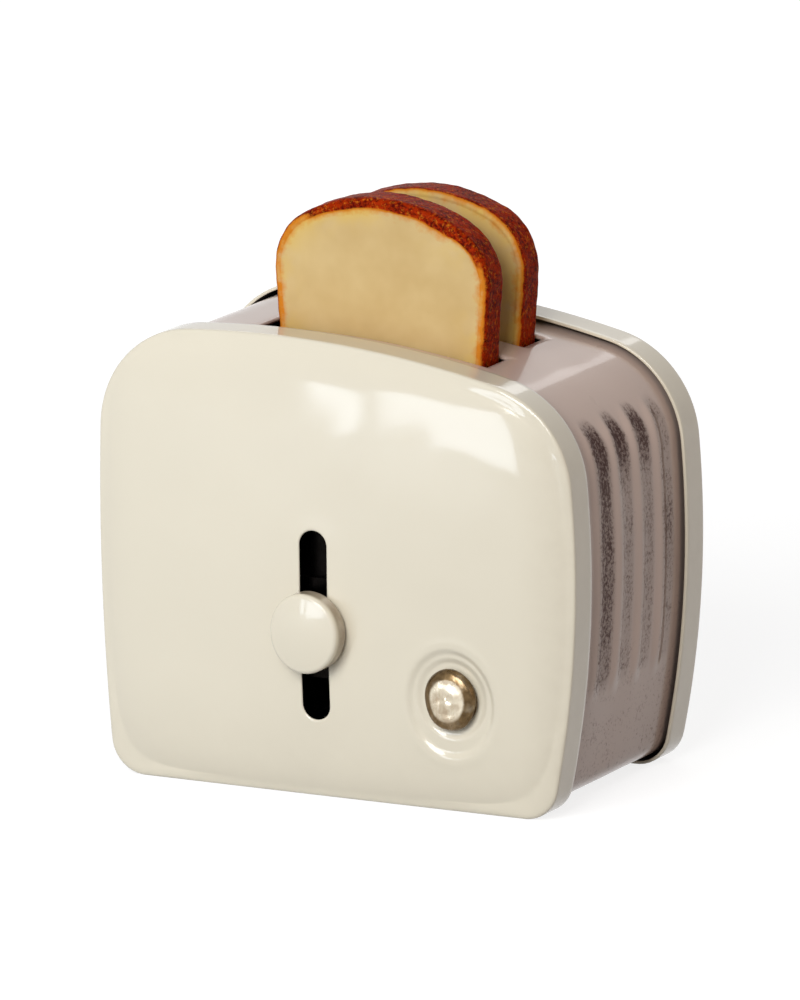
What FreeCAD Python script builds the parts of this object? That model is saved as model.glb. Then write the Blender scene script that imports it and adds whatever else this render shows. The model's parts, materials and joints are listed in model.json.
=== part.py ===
import FreeCAD, Part
import math
import os
import re
import Sketcher

# Miniature toy toaster of pressed tin, in millimetres.
# X runs to the right of the lever face, Y runs back from it, Z runs up.
# Z = 0 is the surface it stands on, under the middle of the case.

document = FreeCAD.newDocument("toy_toaster")
sheet = document.addObject("Spreadsheet::Sheet", "Sizes")
workings = document.addObject("Spreadsheet::Sheet", "Workings")

driving_sizes = {
    # Case outline, seen from the lever face
    "case_width": 63.0,
    "case_height": 55.0,
    "crown_radius": 137.0,
    "crown_offset": -9.8,
    "left_side_radius": 330.0,
    "right_side_radius": 125.0,
    "widest_height": 29.6,
    "top_corner_radius": 12.9,
    "base_corner_radius": 4.4,
    # Pressed covers
    "case_depth": 35.6,
    "face_dome": 1.2,
    "rim_radius": 2.1,
    "cover_reach": 5.4,
    "cover_sheet": 0.4,
    # Wrap between the covers
    "wrap_gap": 0.55,
    "wrap_sheet": 0.4,
    "wrap_end_play": 0.2,
    "rib_count": 4.0,
    "rib_pitch": 5.4,
    "rib_width": 3.0,
    "rib_height": 0.65,
    "rib_length": 35.0,
    "floor_lip_width": 7.0,
    # Bread slots in the top of the wrap
    "bread_slot_length": 31.0,
    "bread_slot_width": 5.3,
    "bread_slot_spacing": 11.1,
    "bread_slot_x": 0.8,
    # Bread slices
    "slice_width": 27.6,
    "slice_foot_width": 24.4,
    "slice_height": 32.0,
    "slice_thickness": 4.7,
    "slice_crown_radius": 20.0,
    "slice_shoulder_radius": 6.5,
    "slice_crust_round": 0.9,
    "slice_x": 1.6,
    # Lever slot, knob and slider
    "lever_slot_x": -1.8,
    "lever_slot_middle": 21.1,
    "lever_slot_length": 22.8,
    "lever_slot_width": 3.6,
    "lever_height": 20.5,
    "knob_diameter": 9.4,
    "knob_thickness": 3.0,
    "knob_edge_round": 0.7,
    "knob_bore_depth": 1.8,
    "stem_diameter": 2.0,
    "bush_diameter": 3.2,
    "slider_width": 12.0,
    "slider_height": 12.0,
    "slider_thickness": 0.8,
    "friction_washer_diameter": 8.0,
    "rail_sheet": 0.5,
    "rail_lip": 1.5,
    "rail_foot_height": 6.0,
    "rail_top_height": 42.0,
    # Lift carriage
    "carriage_sheet": 0.6,
    "carriage_arm_width": 8.0,
    "tray_height": 38.3,
    "tray_width": 24.0,
    "tray_lip": 2.0,
    # Push nuts on the stem and on the dial
    "push_nut_diameter": 5.0,
    "push_nut_thickness": 0.6,
    # Dial in its pressed dish
    "dial_x": 15.9,
    "dial_height": 13.9,
    "dish_diameter": 12.4,
    "dish_floor_diameter": 9.2,
    "dish_step": 0.45,
    "dial_diameter": 7.4,
    "dial_dome": 1.9,
    "dial_skirt": 0.5,
    "dial_shank_diameter": 2.4,
    "dial_washer_diameter": 5.6,
    "dial_washer_thickness": 0.3,
    # Base plate and its rivets
    "base_sheet": 0.4,
    "base_rivet_spacing": 20.0,
    "rivet_diameter": 2.0,
    "rivet_head_diameter": 3.4,
    "rivet_head_height": 0.45,
    # Clearances
    "running_gap": 0.3,
    "slide_gap": 0.12,
    "fit_gap": 0.03,
    "seat_gap": 0.02,
}

derived_sizes = {
    # A front, back, seat or top is a distance before the case's middle, towards the lever face.
    "half_width": "case_width / 2",
    "half_depth": "case_depth / 2",
    "face_front": "half_depth + face_dome",
    "dome_radius": "(half_width * half_width + face_dome * face_dome) / (2 * face_dome)",
    "dome_height": "case_height / 2",
    "wrap_inset": "cover_sheet + wrap_gap",
    "wrap_inner_inset": "wrap_inset + wrap_sheet",
    "wrap_lip_inset": "cover_sheet + seat_gap",
    "wrap_half_depth": "half_depth - rim_radius - wrap_end_play",
    "left_axis_x": "left_side_radius - half_width",
    "right_axis_x": "half_width - right_side_radius",
    "left_floor_x": "left_axis_x - sqrt(pow(left_side_radius - base_corner_radius; 2)"
                    " - pow(widest_height - base_corner_radius; 2))",
    "right_floor_x": "right_axis_x + sqrt(pow(right_side_radius - base_corner_radius; 2)"
                     " - pow(widest_height - base_corner_radius; 2))",
    "rib_circle_radius": "(rib_width * rib_width / 4 + rib_height * rib_height) / (2 * rib_height)",
    "plate_floor": "wrap_inner_inset",
    "plate_top": "plate_floor + base_sheet",
    "left_rivet_x": "left_floor_x + floor_lip_width / 2",
    "right_rivet_x": "right_floor_x - floor_lip_width / 2",
    "dish_reach": "sqrt(pow(dial_x; 2) + pow(dial_height - dome_height; 2))",
    "dish_face": "face_front - dome_radius + sqrt(pow(dome_radius; 2) - pow(dish_reach; 2))",
    "dish_floor": "dish_face - 2 * dish_step",
    "dish_back": "dish_floor - cover_sheet",
    "dial_washer_front": "dish_back - running_gap / 2",
    "dial_nut_front": "dial_washer_front - dial_washer_thickness - seat_gap",
    "dial_back": "dial_nut_front - push_nut_thickness - running_gap",
    "rail_reach": "sqrt(pow(abs(lever_slot_x) + slider_width / 2 + slide_gap + rail_sheet; 2)"
                  " + pow(dome_height - rail_foot_height; 2))",
    "rail_front": "face_front - cover_sheet - dome_radius"
                  " + sqrt(pow(dome_radius; 2) - pow(rail_reach; 2)) - seat_gap",
    "slider_front": "rail_front - rail_sheet - slide_gap",
    "slider_back": "slider_front - slider_thickness",
    "rail_back": "slider_back - slide_gap - rail_sheet",
    "arm_front": "slider_back - seat_gap",
    "arm_back": "arm_front - carriage_sheet",
    "lever_nut_front": "arm_back - seat_gap",
    "stem_back": "lever_nut_front - push_nut_thickness - running_gap",
    "knob_back": "face_front + running_gap",
    "knob_front": "knob_back + knob_thickness",
    "knob_bore_end": "knob_back + knob_bore_depth",
    "washer_reach": "sqrt(pow(abs(lever_slot_x) + friction_washer_diameter / 2; 2)"
                    " + pow(dome_height - lever_slot_middle + lever_slot_length / 2"
                    " + (friction_washer_diameter - bush_diameter) / 2; 2))",
    "washer_front": "face_front - cover_sheet - dome_radius"
                    " + sqrt(pow(dome_radius; 2) - pow(washer_reach; 2)) - slide_gap",
    "washer_thickness": "washer_front - slider_front - seat_gap",
    "rivet_bottom": "wrap_inset - rivet_head_height - seat_gap",
    "rivet_top": "plate_top + 2 * seat_gap + rivet_head_height",
    "dial_seat": "dish_floor + running_gap",
    "dial_top": "dial_seat + dial_skirt + dial_dome",
    "dial_ball_radius": "(pow(dial_diameter / 2; 2) + dial_dome * dial_dome) / (2 * dial_dome)",
    "slot_half_run": "(lever_slot_length - lever_slot_width) / 2",
    "slice_foot": "tray_height + slide_gap",
    "tray_front": "bread_slot_spacing / 2 + slice_thickness / 2 + running_gap + carriage_sheet",
}

cells = [(name, str(amount)) for name, amount in driving_sizes.items()]
cells += [(name, "=" + formula) for name, formula in derived_sizes.items()]
for row, (name, content) in enumerate(cells, start=1):
    sheet.set("A%d" % row, name)
    sheet.set("B%d" % row, content)
    sheet.setAlias("B%d" % row, name)
document.recompute()

size = {}
for name in list(driving_sizes) + list(derived_sizes):
    size[name] = float(sheet.get(name))

sub_parts = {}
functions = ("sqrt", "pow", "abs", "asin")


def sheet_formula(formula):
    # Each size name in the formula is looked up in the sheet.
    def look_up(match):
        word = match.group(0)
        return word if word in functions else "Sizes." + word
    return re.sub(r"[a-z][a-z_]*", look_up, formula)


def bind(feature, **formulas):
    for property_name, formula in formulas.items():
        feature.setExpression(property_name.replace("__", "."), sheet_formula(formula))


def new_body(node):
    body = document.addObject("PartDesign::Body", node + "_body")
    body.Label = node
    sub_parts[node] = body
    return body


def new_sketch(body, name, plane, offset=None, origin_x=None, origin_y=None):
    # offset moves the sketch along its plane's normal: -Y for XZ, +X for YZ, +Z for XY.
    sketch = body.newObject("Sketcher::SketchObject", name)
    for feature in body.Origin.OriginFeatures:
        if feature.Role == plane + "_Plane":
            sketch.AttachmentSupport = (feature, [""])
    sketch.MapMode = "FlatFace"
    places = {"z": offset, "x": origin_x, "y": origin_y}
    for axis, formula in places.items():
        if formula is not None:
            sketch.setExpression("AttachmentOffset.Base." + axis, sheet_formula(formula))
    return sketch


def number(formula):
    # A formula's present value, worked out in a sheet kept for this.
    workings.set("A1", "=" + sheet_formula(formula))
    workings.recompute()
    return float(workings.get("A1"))


def dimension(sketch, kind, *place, formula):
    index = sketch.addConstraint(Sketcher.Constraint(kind, *place, number(formula)))
    sketch.setExpression("Constraints[%d]" % index, sheet_formula(formula))


def pin_point(sketch, piece, point, x, y):
    dimension(sketch, "DistanceX", -1, 1, piece, point, formula=x)
    dimension(sketch, "DistanceY", -1, 1, piece, point, formula=y)


def add_rectangle(sketch, left, right, low, high):
    corners = [FreeCAD.Vector(0, 0, 0), FreeCAD.Vector(1, 0, 0),
               FreeCAD.Vector(1, 1, 0), FreeCAD.Vector(0, 1, 0)]
    sides = []
    for index in range(4):
        line = Part.LineSegment(corners[index], corners[(index + 1) % 4])
        sides.append(sketch.addGeometry(line))
    for index in range(4):
        following = sides[(index + 1) % 4]
        sketch.addConstraint(Sketcher.Constraint("Coincident", sides[index], 2, following, 1))
        direction = "Horizontal" if index % 2 == 0 else "Vertical"
        sketch.addConstraint(Sketcher.Constraint(direction, sides[index]))
    pin_point(sketch, sides[0], 1, left, low)
    pin_point(sketch, sides[2], 1, right, high)


def add_circle(sketch, x, y, diameter):
    circle = Part.Circle(FreeCAD.Vector(0, 0, 0), FreeCAD.Vector(0, 0, 1), 1.0)
    index = sketch.addGeometry(circle)
    pin_point(sketch, index, 3, x, y)
    dimension(sketch, "Diameter", index, formula=diameter)


def add_chain(sketch, pieces, tangent_joints):
    # A closed chain of lines and arcs: each piece ends where the next one starts.
    # pieces: (geometry, start point number, end point number)
    indices = [sketch.addGeometry(geometry) for geometry, start, end in pieces]
    for place, index in enumerate(indices):
        following = (place + 1) % len(indices)
        kind = "Tangent" if place in tangent_joints else "Coincident"
        end = pieces[place][2]
        start = pieces[following][1]
        sketch.addConstraint(Sketcher.Constraint(kind, index, end, indices[following], start))
    return indices


def arc_between(centre, radius, first, last):
    # Counter-clockwise arc round the centre, from the ray to first to the ray to last.
    start = math.atan2(first[1] - centre[1], first[0] - centre[0])
    stop = math.atan2(last[1] - centre[1], last[0] - centre[0])
    circle = Part.Circle(FreeCAD.Vector(centre[0], centre[1], 0), FreeCAD.Vector(0, 0, 1), radius)
    return Part.ArcOfCircle(circle, start, stop if stop > start else stop + 2 * math.pi)


def meeting_point(first, first_reach, second, second_reach, side):
    # Where two circles cross, on the right (side +1) or left (side -1), the upper one.
    span = math.dist(first, second)
    along = (first_reach ** 2 - second_reach ** 2 + span ** 2) / (2 * span)
    across = math.sqrt(first_reach ** 2 - along ** 2)
    unit = ((second[0] - first[0]) / span, (second[1] - first[1]) / span)
    foot = (first[0] + along * unit[0], first[1] + along * unit[1])
    choices = [(foot[0] - turn * across * unit[1], foot[1] + turn * across * unit[0])
               for turn in (1, -1)]
    return max(choices, key=lambda point: side * point[0] + point[1])


def beyond(axis, centre, radius):
    # Point on the ray from axis through centre, radius further out than centre.
    span = math.dist(axis, centre)
    return (centre[0] + (centre[0] - axis[0]) * radius / span,
            centre[1] + (centre[1] - axis[1]) * radius / span)


def add_case_outline(sketch, inset):
    # The case outline drawn in by inset: a flat foot, two bowed sides and a crowned top,
    # joined by four corner arcs, all tangent.
    drawn_in = size[inset] if inset else 0.0
    text = inset if inset else "0"
    top = (size["crown_offset"], size["case_height"] - size["crown_radius"])
    right = (size["right_axis_x"], size["widest_height"])
    left = (size["left_axis_x"], size["widest_height"])
    top_corner = size["top_corner_radius"]
    base_corner = size["base_corner_radius"]
    crown_reach = size["crown_radius"] - top_corner
    upper_right = meeting_point(top, crown_reach, right, size["right_side_radius"] - top_corner, 1)
    upper_left = meeting_point(top, crown_reach, left, size["left_side_radius"] - top_corner, -1)
    lower_right = (size["right_floor_x"], base_corner)
    lower_left = (size["left_floor_x"], base_corner)

    joint_right_low = beyond(right, lower_right, base_corner)
    joint_right_high = beyond(right, upper_right, top_corner)
    joint_top_right = beyond(top, upper_right, top_corner)
    joint_top_left = beyond(top, upper_left, top_corner)
    joint_left_high = beyond(left, upper_left, top_corner)
    joint_left_low = beyond(left, lower_left, base_corner)
    foot_right = (lower_right[0], 0.0)
    foot_left = (lower_left[0], 0.0)

    foot = Part.LineSegment(FreeCAD.Vector(foot_left[0], drawn_in, 0),
                            FreeCAD.Vector(foot_right[0], drawn_in, 0))
    pieces = [
        (foot, 1, 2),
        (arc_between(lower_right, base_corner - drawn_in, foot_right, joint_right_low), 1, 2),
        (arc_between(right, size["right_side_radius"] - drawn_in, joint_right_low, joint_right_high), 1, 2),
        (arc_between(upper_right, top_corner - drawn_in, joint_right_high, joint_top_right), 1, 2),
        (arc_between(top, size["crown_radius"] - drawn_in, joint_top_right, joint_top_left), 1, 2),
        (arc_between(upper_left, top_corner - drawn_in, joint_top_left, joint_left_high), 1, 2),
        (arc_between(left, size["left_side_radius"] - drawn_in, joint_left_high, joint_left_low), 1, 2),
        (arc_between(lower_left, base_corner - drawn_in, joint_left_low, foot_left), 1, 2),
    ]
    lines = add_chain(sketch, pieces, tangent_joints=range(8))
    sketch.addConstraint(Sketcher.Constraint("Horizontal", lines[0]))
    dimension(sketch, "DistanceY", -1, 1, lines[0], 1, formula=text)
    pin_point(sketch, lines[2], 3, "right_axis_x", "widest_height")
    pin_point(sketch, lines[4], 3, "crown_offset", "case_height - crown_radius")
    pin_point(sketch, lines[6], 3, "left_axis_x", "widest_height")
    radii = {1: "base_corner_radius", 2: "right_side_radius", 3: "top_corner_radius",
             4: "crown_radius", 5: "top_corner_radius", 6: "left_side_radius",
             7: "base_corner_radius"}
    for place, name in radii.items():
        dimension(sketch, "Radius", lines[place], formula=name + " - " + text)


def pad(body, name, sketch, length, towards_back=False):
    feature = body.newObject("PartDesign::Pad", name)
    feature.Profile = sketch
    bind(feature, Length=length)
    feature.Reversed = towards_back
    return feature


def pocket(body, name, sketch, length, towards_front=False):
    feature = body.newObject("PartDesign::Pocket", name)
    feature.Profile = sketch
    bind(feature, Length=length)
    feature.Reversed = towards_front
    return feature


def revolve(body, kind, name, sketch, axis, angle=None):
    # A full turn, or the given angle shared equally to both sides of the sketch.
    feature = body.newObject("PartDesign::" + kind, name)
    feature.Profile = sketch
    feature.ReferenceAxis = (sketch, [axis])
    feature.Angle = 360.0
    if angle:
        feature.Midplane = True
        bind(feature, Angle=angle)
    return feature


def face_edges(shape, y, tolerance=0.001):
    # Names of the edges that lie in the plane Y = y.
    names = []
    for index, edge in enumerate(shape.Edges):
        box = edge.BoundBox
        if abs(box.YMin - y) < tolerance and abs(box.YMax - y) < tolerance:
            names.append("Edge%d" % (index + 1))
    return names


def fillet(body, name, base, edges, radius):
    feature = body.newObject("PartDesign::Fillet", name)
    feature.Base = (base, edges)
    bind(feature, Radius=radius)
    return feature


def domed_block(body, label, side, inset, extra_reach):
    # A block of the case outline with a rounded rim and a face that is part of a sphere.
    # side is -1 for the lever face and +1 for the back; inset draws the whole form in.
    front = side < 0
    sign = "" if front else "-"
    counter = "-" if front else ""
    drawn_in = size[inset] if inset else 0.0
    text = inset if inset else "0"
    blank = new_sketch(body, label + "_outline", "XZ", offset="%sface_front" % sign)
    add_case_outline(blank, inset)
    pad(body, label + "_block", blank, "cover_reach + face_dome + " + extra_reach, front)

    # Everything beyond the dome's sphere is turned away about the dome's axis.
    turned = new_sketch(body, label + "_dome_profile", "YZ", origin_y="dome_height")
    sphere = size["dome_radius"] - drawn_in
    apex = side * (size["face_front"] - drawn_in)
    rim = size["case_width"]
    outer = side * (size["face_front"] + size["rim_radius"])

    def sphere_point(height):
        fall = sphere - math.sqrt(sphere ** 2 - height ** 2)
        return FreeCAD.Vector(apex - side * fall, height, 0)

    arc = Part.Arc(sphere_point(0), sphere_point(rim / 2), sphere_point(rim))
    corners = [sphere_point(rim), FreeCAD.Vector(outer, rim, 0), FreeCAD.Vector(outer, 0, 0),
               sphere_point(0)]
    pieces = [(arc, 2, 1) if front else (arc, 1, 2)]
    for start, end in zip(corners, corners[1:]):
        pieces.append((Part.LineSegment(start, end), 1, 2))
    lines = add_chain(turned, pieces, tangent_joints=())
    turned.addConstraint(Sketcher.Constraint("Horizontal", lines[1]))
    turned.addConstraint(Sketcher.Constraint("Vertical", lines[2]))
    pin_point(turned, lines[3], 1, "%s(face_front + rim_radius)" % counter, "0")
    pin_point(turned, lines[3], 2, "%s(face_front - %s)" % (counter, text), "0")
    pin_point(turned, lines[0], 3, "%s(face_front - dome_radius)" % counter, "0")
    dimension(turned, "DistanceY", -1, 1, lines[1], 1, formula="case_width")
    dome = revolve(body, "Groove", label + "_dome", turned, "H_Axis")
    document.recompute()

    rim_edges = []
    for index, edge in enumerate(dome.Shape.Edges):
        middle = edge.valueAt((edge.FirstParameter + edge.LastParameter) / 2)
        if side * middle.y > size["half_depth"] - size["rim_radius"]:
            rim_edges.append("Edge%d" % (index + 1))
    fillet(body, label + "_rim", dome, rim_edges, "rim_radius - " + text)
    document.recompute()


def make_cover(node, side):
    # A pressed cover: domed face, rounded rim and a flange that reaches over the wrap.
    body = new_body(node)
    domed_block(body, node, side, None, "0")
    hollow = document.addObject("PartDesign::Body", node + "_hollow_body")
    hollow.Label = node + "_hollow"
    domed_block(hollow, node + "_hollow", side, "cover_sheet", "rim_radius")
    shell = body.newObject("PartDesign::Boolean", node + "_shell")
    shell.Type = "Cut"
    shell.setObjects([hollow])
    document.recompute()
    return body


def press_dish(body):
    # The round dish for the dial: two shallow steps pressed into the face, with a hole.
    def turned_profile(name, grown):
        sketch = new_sketch(body, name, "XY", offset="dial_height", origin_x="dial_x")
        sheet_grown = "cover_sheet" if grown else "0"
        mouth = "dish_face - cover_sheet / 2" if grown else "face_front + rim_radius"
        rows = [
            ("0", mouth),
            ("dish_diameter / 2 + %s" % sheet_grown, mouth),
            ("dish_diameter / 2 + %s" % sheet_grown, "dish_face - dish_step - %s" % sheet_grown),
            ("dish_floor_diameter / 2 + %s" % sheet_grown, "dish_face - dish_step - %s" % sheet_grown),
            ("dish_floor_diameter / 2 + %s" % sheet_grown, "dish_floor - %s" % sheet_grown),
            ("0", "dish_floor - %s" % sheet_grown),
        ]
        points = [(reach, "-(%s)" % y) for reach, y in rows]
        add_polygon(sketch, points)
        return sketch

    revolve(body, "Revolution", "dish_back", turned_profile("dish_back_profile", True), "V_Axis")
    revolve(body, "Groove", "dish_front", turned_profile("dish_front_profile", False), "V_Axis")
    hole = new_sketch(body, "dial_hole_outline", "XZ", offset="face_front")
    add_circle(hole, "dial_x", "dial_height", "dial_shank_diameter + 2 * fit_gap")
    pocket(body, "dial_hole", hole, "2 * face_dome + 2 * dish_step + cover_sheet")


def add_polygon(sketch, points):
    # A closed polygon whose corners are given as formulas.
    numbers = [FreeCAD.Vector(number(x), number(y), 0) for x, y in points]
    sides = []
    for index, start in enumerate(numbers):
        end = numbers[(index + 1) % len(numbers)]
        sides.append(sketch.addGeometry(Part.LineSegment(start, end)))
    for index, side in enumerate(sides):
        following = sides[(index + 1) % len(sides)]
        sketch.addConstraint(Sketcher.Constraint("Coincident", side, 2, following, 1))
        pin_point(sketch, side, 1, *points[index])


def add_obround(sketch, x, low, high, width):
    # An upright slot with round ends; low and high are the heights of the ends' centres.
    centre_x = number(x)
    reach = number(width) / 2
    bottom = number(low)
    top = number(high)
    up = FreeCAD.Vector(0, 0, 1)
    left = Part.LineSegment(FreeCAD.Vector(centre_x - reach, top, 0),
                            FreeCAD.Vector(centre_x - reach, bottom, 0))
    right = Part.LineSegment(FreeCAD.Vector(centre_x + reach, bottom, 0),
                             FreeCAD.Vector(centre_x + reach, top, 0))
    lower = Part.ArcOfCircle(Part.Circle(FreeCAD.Vector(centre_x, bottom, 0), up, reach),
                             math.pi, 2 * math.pi)
    upper = Part.ArcOfCircle(Part.Circle(FreeCAD.Vector(centre_x, top, 0), up, reach),
                             0, math.pi)
    pieces = [(left, 1, 2), (lower, 1, 2), (right, 1, 2), (upper, 1, 2)]
    lines = add_chain(sketch, pieces, tangent_joints=range(4))
    pin_point(sketch, lines[1], 3, x, low)
    pin_point(sketch, lines[3], 3, x, high)
    dimension(sketch, "Radius", lines[1], formula="%s / 2" % width)


def cut_lever_slot(body):
    outline = new_sketch(body, "lever_slot_outline", "XZ", offset="face_front")
    add_obround(outline, "lever_slot_x", "lever_slot_middle - slot_half_run",
                "lever_slot_middle + slot_half_run", "lever_slot_width")
    pocket(body, "lever_slot", outline, "2 * face_dome + cover_sheet")


def make_wrap():
    # The wrap: a folded sleeve between the covers, with ribs down both sides, an out-turned
    # lip at each end that seats inside the covers' flanges, and floor lips turned under.
    body = new_body("body_wrap")
    blank = new_sketch(body, "wrap_outline", "XZ", offset="wrap_half_depth")
    add_case_outline(blank, "wrap_inset")
    pad(body, "wrap_block", blank, "2 * wrap_half_depth", True)
    ends = {"front": "wrap_half_depth", "rear": "wrap_sheet - wrap_half_depth"}
    for end, place in ends.items():
        lip = new_sketch(body, "wrap_%s_lip_outline" % end, "XZ", offset=place)
        add_case_outline(lip, "wrap_lip_inset")
        pad(body, "wrap_%s_lip" % end, lip, "wrap_sheet", True)

    rib_places = ["(%d - (rib_count - 1) / 2) * rib_pitch" % index
                  for index in range(int(size["rib_count"]))]
    sides = {"right": ("right_axis_x", "right_side_radius", ""),
             "left": ("left_axis_x", "left_side_radius", "-")}

    def rib_sketch(side, name, radius):
        axis_x, side_radius, sign = sides[side]
        sketch = new_sketch(body, name, "XY", offset="widest_height", origin_x=axis_x)
        reach = "%s(%s - wrap_inset + rib_height - rib_circle_radius)" % (sign, side_radius)
        for place in rib_places:
            add_circle(sketch, reach, place, "2 * (%s)" % radius)
        return sketch

    def rib_turn(side, shorter):
        side_radius = sides[side][1]
        return "2 * asin((rib_length / 2 - %s) / (%s - wrap_inset))" % (shorter, side_radius)

    for side in sides:
        outside = rib_sketch(side, "%s_rib_sections" % side, "rib_circle_radius")
        revolve(body, "Revolution", "%s_ribs" % side, outside, "V_Axis", rib_turn(side, "0"))
    hollow = new_sketch(body, "wrap_inner_outline", "XZ", offset="half_depth")
    add_case_outline(hollow, "wrap_inner_inset")
    pocket(body, "wrap_hollow", hollow, "2 * half_depth")
    for side in sides:
        inside = rib_sketch(side, "%s_rib_hollow_sections" % side, "rib_circle_radius - wrap_sheet")
        revolve(body, "Groove", "%s_rib_hollows" % side, inside, "V_Axis",
                rib_turn(side, "wrap_sheet"))

    slots = new_sketch(body, "bread_slot_outlines", "XY", offset="case_height")
    for sign in ("-", ""):
        middle = "%sbread_slot_spacing / 2" % sign
        add_rectangle(slots, "bread_slot_x - bread_slot_length / 2",
                      "bread_slot_x + bread_slot_length / 2",
                      "%s - bread_slot_width / 2" % middle, "%s + bread_slot_width / 2" % middle)
    pocket(body, "bread_slots", slots, "case_height / 2")

    floor_gap = new_sketch(body, "wrap_floor_outline", "XY")
    add_rectangle(floor_gap, "left_floor_x + floor_lip_width", "right_floor_x - floor_lip_width",
                  "-half_depth", "half_depth")
    pocket(body, "wrap_floor_gap", floor_gap, "plate_top", True)
    holes = new_sketch(body, "wrap_rivet_holes_outline", "XY")
    for x, y in rivet_places:
        add_circle(holes, x, y, "rivet_diameter + 2 * fit_gap")
    pocket(body, "wrap_rivet_holes", holes, "plate_top", True)


def make_base_plate():
    body = new_body("base_plate")
    outline = new_sketch(body, "base_plate_outline", "XY", offset="plate_floor + seat_gap")
    add_rectangle(outline, "left_floor_x", "right_floor_x",
                  "-(wrap_half_depth - wrap_sheet)", "wrap_half_depth - wrap_sheet")
    for x, y in rivet_places:
        add_circle(outline, x, y, "rivet_diameter + 2 * fit_gap")
    pad(body, "base_plate_sheet", outline, "base_sheet")


def make_base_rivets():
    # Four rivets hold the base plate on the wrap's floor lips: shank and two flat heads.
    rivets = []
    for index, (x, y) in enumerate(rivet_places):
        shank = add_cylinder("base_rivet_%d_shank" % index, "rivet_diameter",
                             "rivet_top - rivet_bottom")
        bind(shank, Placement__Base__x=x, Placement__Base__y=y, Placement__Base__z="rivet_bottom")
        heads = []
        for end, height in (("lower", "rivet_bottom"), ("upper", "rivet_top - rivet_head_height")):
            head = add_cylinder("base_rivet_%d_%s_head" % (index, end), "rivet_head_diameter",
                                "rivet_head_height")
            bind(head, Placement__Base__x=x, Placement__Base__y=y, Placement__Base__z=height)
            heads.append(head)
        rivet = document.addObject("Part::MultiFuse", "base_rivet_%d" % index)
        rivet.Shapes = [shank] + heads
        rivets.append(rivet)
    group = document.addObject("Part::Compound", "base_rivets_group")
    group.Links = rivets
    group.Label = "base_rivets"
    sub_parts["base_rivets"] = group


def add_cylinder(name, diameter, height):
    cylinder = document.addObject("Part::Cylinder", name)
    bind(cylinder, Radius="(%s) / 2" % diameter, Height=height)
    return cylinder


def make_disc(node, x, z, front, thickness, outer, bore=None):
    # A disc or ring square to the face; front is how far its front lies before the middle.
    body = new_body(node)
    outline = new_sketch(body, node + "_outline", "XZ", offset=front)
    add_circle(outline, x, z, outer)
    if bore:
        add_circle(outline, x, z, bore)
    return pad(body, node + "_disc", outline, thickness, True)


def make_rail(node, side):
    # A guide rail: a channel behind the lever face that holds one edge of the slider plate.
    body = new_body(node)
    outline = new_sketch(body, node + "_section", "XY", offset="rail_foot_height")
    edge = "lever_slot_x %s (slider_width / 2 + slide_gap)" % side
    back = "lever_slot_x %s (slider_width / 2 + slide_gap + rail_sheet)" % side
    lip = "lever_slot_x %s (slider_width / 2 - rail_lip)" % side
    add_polygon(outline, [
        (back, "-rail_front"),
        (lip, "-rail_front"),
        (lip, "-(rail_front - rail_sheet)"),
        (edge, "-(rail_front - rail_sheet)"),
        (edge, "-(rail_back + rail_sheet)"),
        (lip, "-(rail_back + rail_sheet)"),
        (lip, "-rail_back"),
        (back, "-rail_back"),
    ])
    pad(body, node + "_channel", outline, "rail_top_height - rail_foot_height")


def make_lever():
    knob = make_disc("lever_knob", "lever_slot_x", "lever_height", "knob_front",
                     "knob_thickness", "knob_diameter")
    document.recompute()
    body = sub_parts["lever_knob"]
    for name, place, radius in (("front", "knob_front", "knob_edge_round"),
                                ("back", "knob_back", "knob_edge_round / 2")):
        base = body.Tip
        fillet(body, "lever_knob_%s_round" % name, base,
               face_edges(base.Shape, -size[place]), radius)
        document.recompute()
    bore = new_sketch(body, "lever_knob_bore_outline", "XZ", offset="knob_back")
    add_circle(bore, "lever_slot_x", "lever_height", "stem_diameter + 2 * fit_gap")
    pocket(body, "lever_knob_bore", bore, "knob_bore_depth", True)

    make_disc("lever_stem", "lever_slot_x", "lever_height", "knob_bore_end - fit_gap",
              "knob_bore_end - fit_gap - stem_back", "stem_diameter")
    bore_text = "stem_diameter + 2 * fit_gap"
    make_disc("slot_bush", "lever_slot_x", "lever_height", "knob_back - fit_gap",
              "knob_back - washer_front - 2 * fit_gap", "bush_diameter", bore_text)
    make_disc("friction_washer", "lever_slot_x", "lever_height", "washer_front",
              "washer_thickness", "friction_washer_diameter", bore_text)
    make_disc("lever_push_nut", "lever_slot_x", "lever_height", "lever_nut_front",
              "push_nut_thickness", "push_nut_diameter", bore_text)

    slider = new_body("slider_plate")
    outline = new_sketch(slider, "slider_plate_outline", "XZ", offset="slider_front")
    add_rectangle(outline, "lever_slot_x - slider_width / 2", "lever_slot_x + slider_width / 2",
                  "lever_height - slider_height / 2", "lever_height + slider_height / 2")
    add_circle(outline, "lever_slot_x", "lever_height", bore_text)
    pad(slider, "slider_plate_sheet", outline, "slider_thickness", True)


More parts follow.
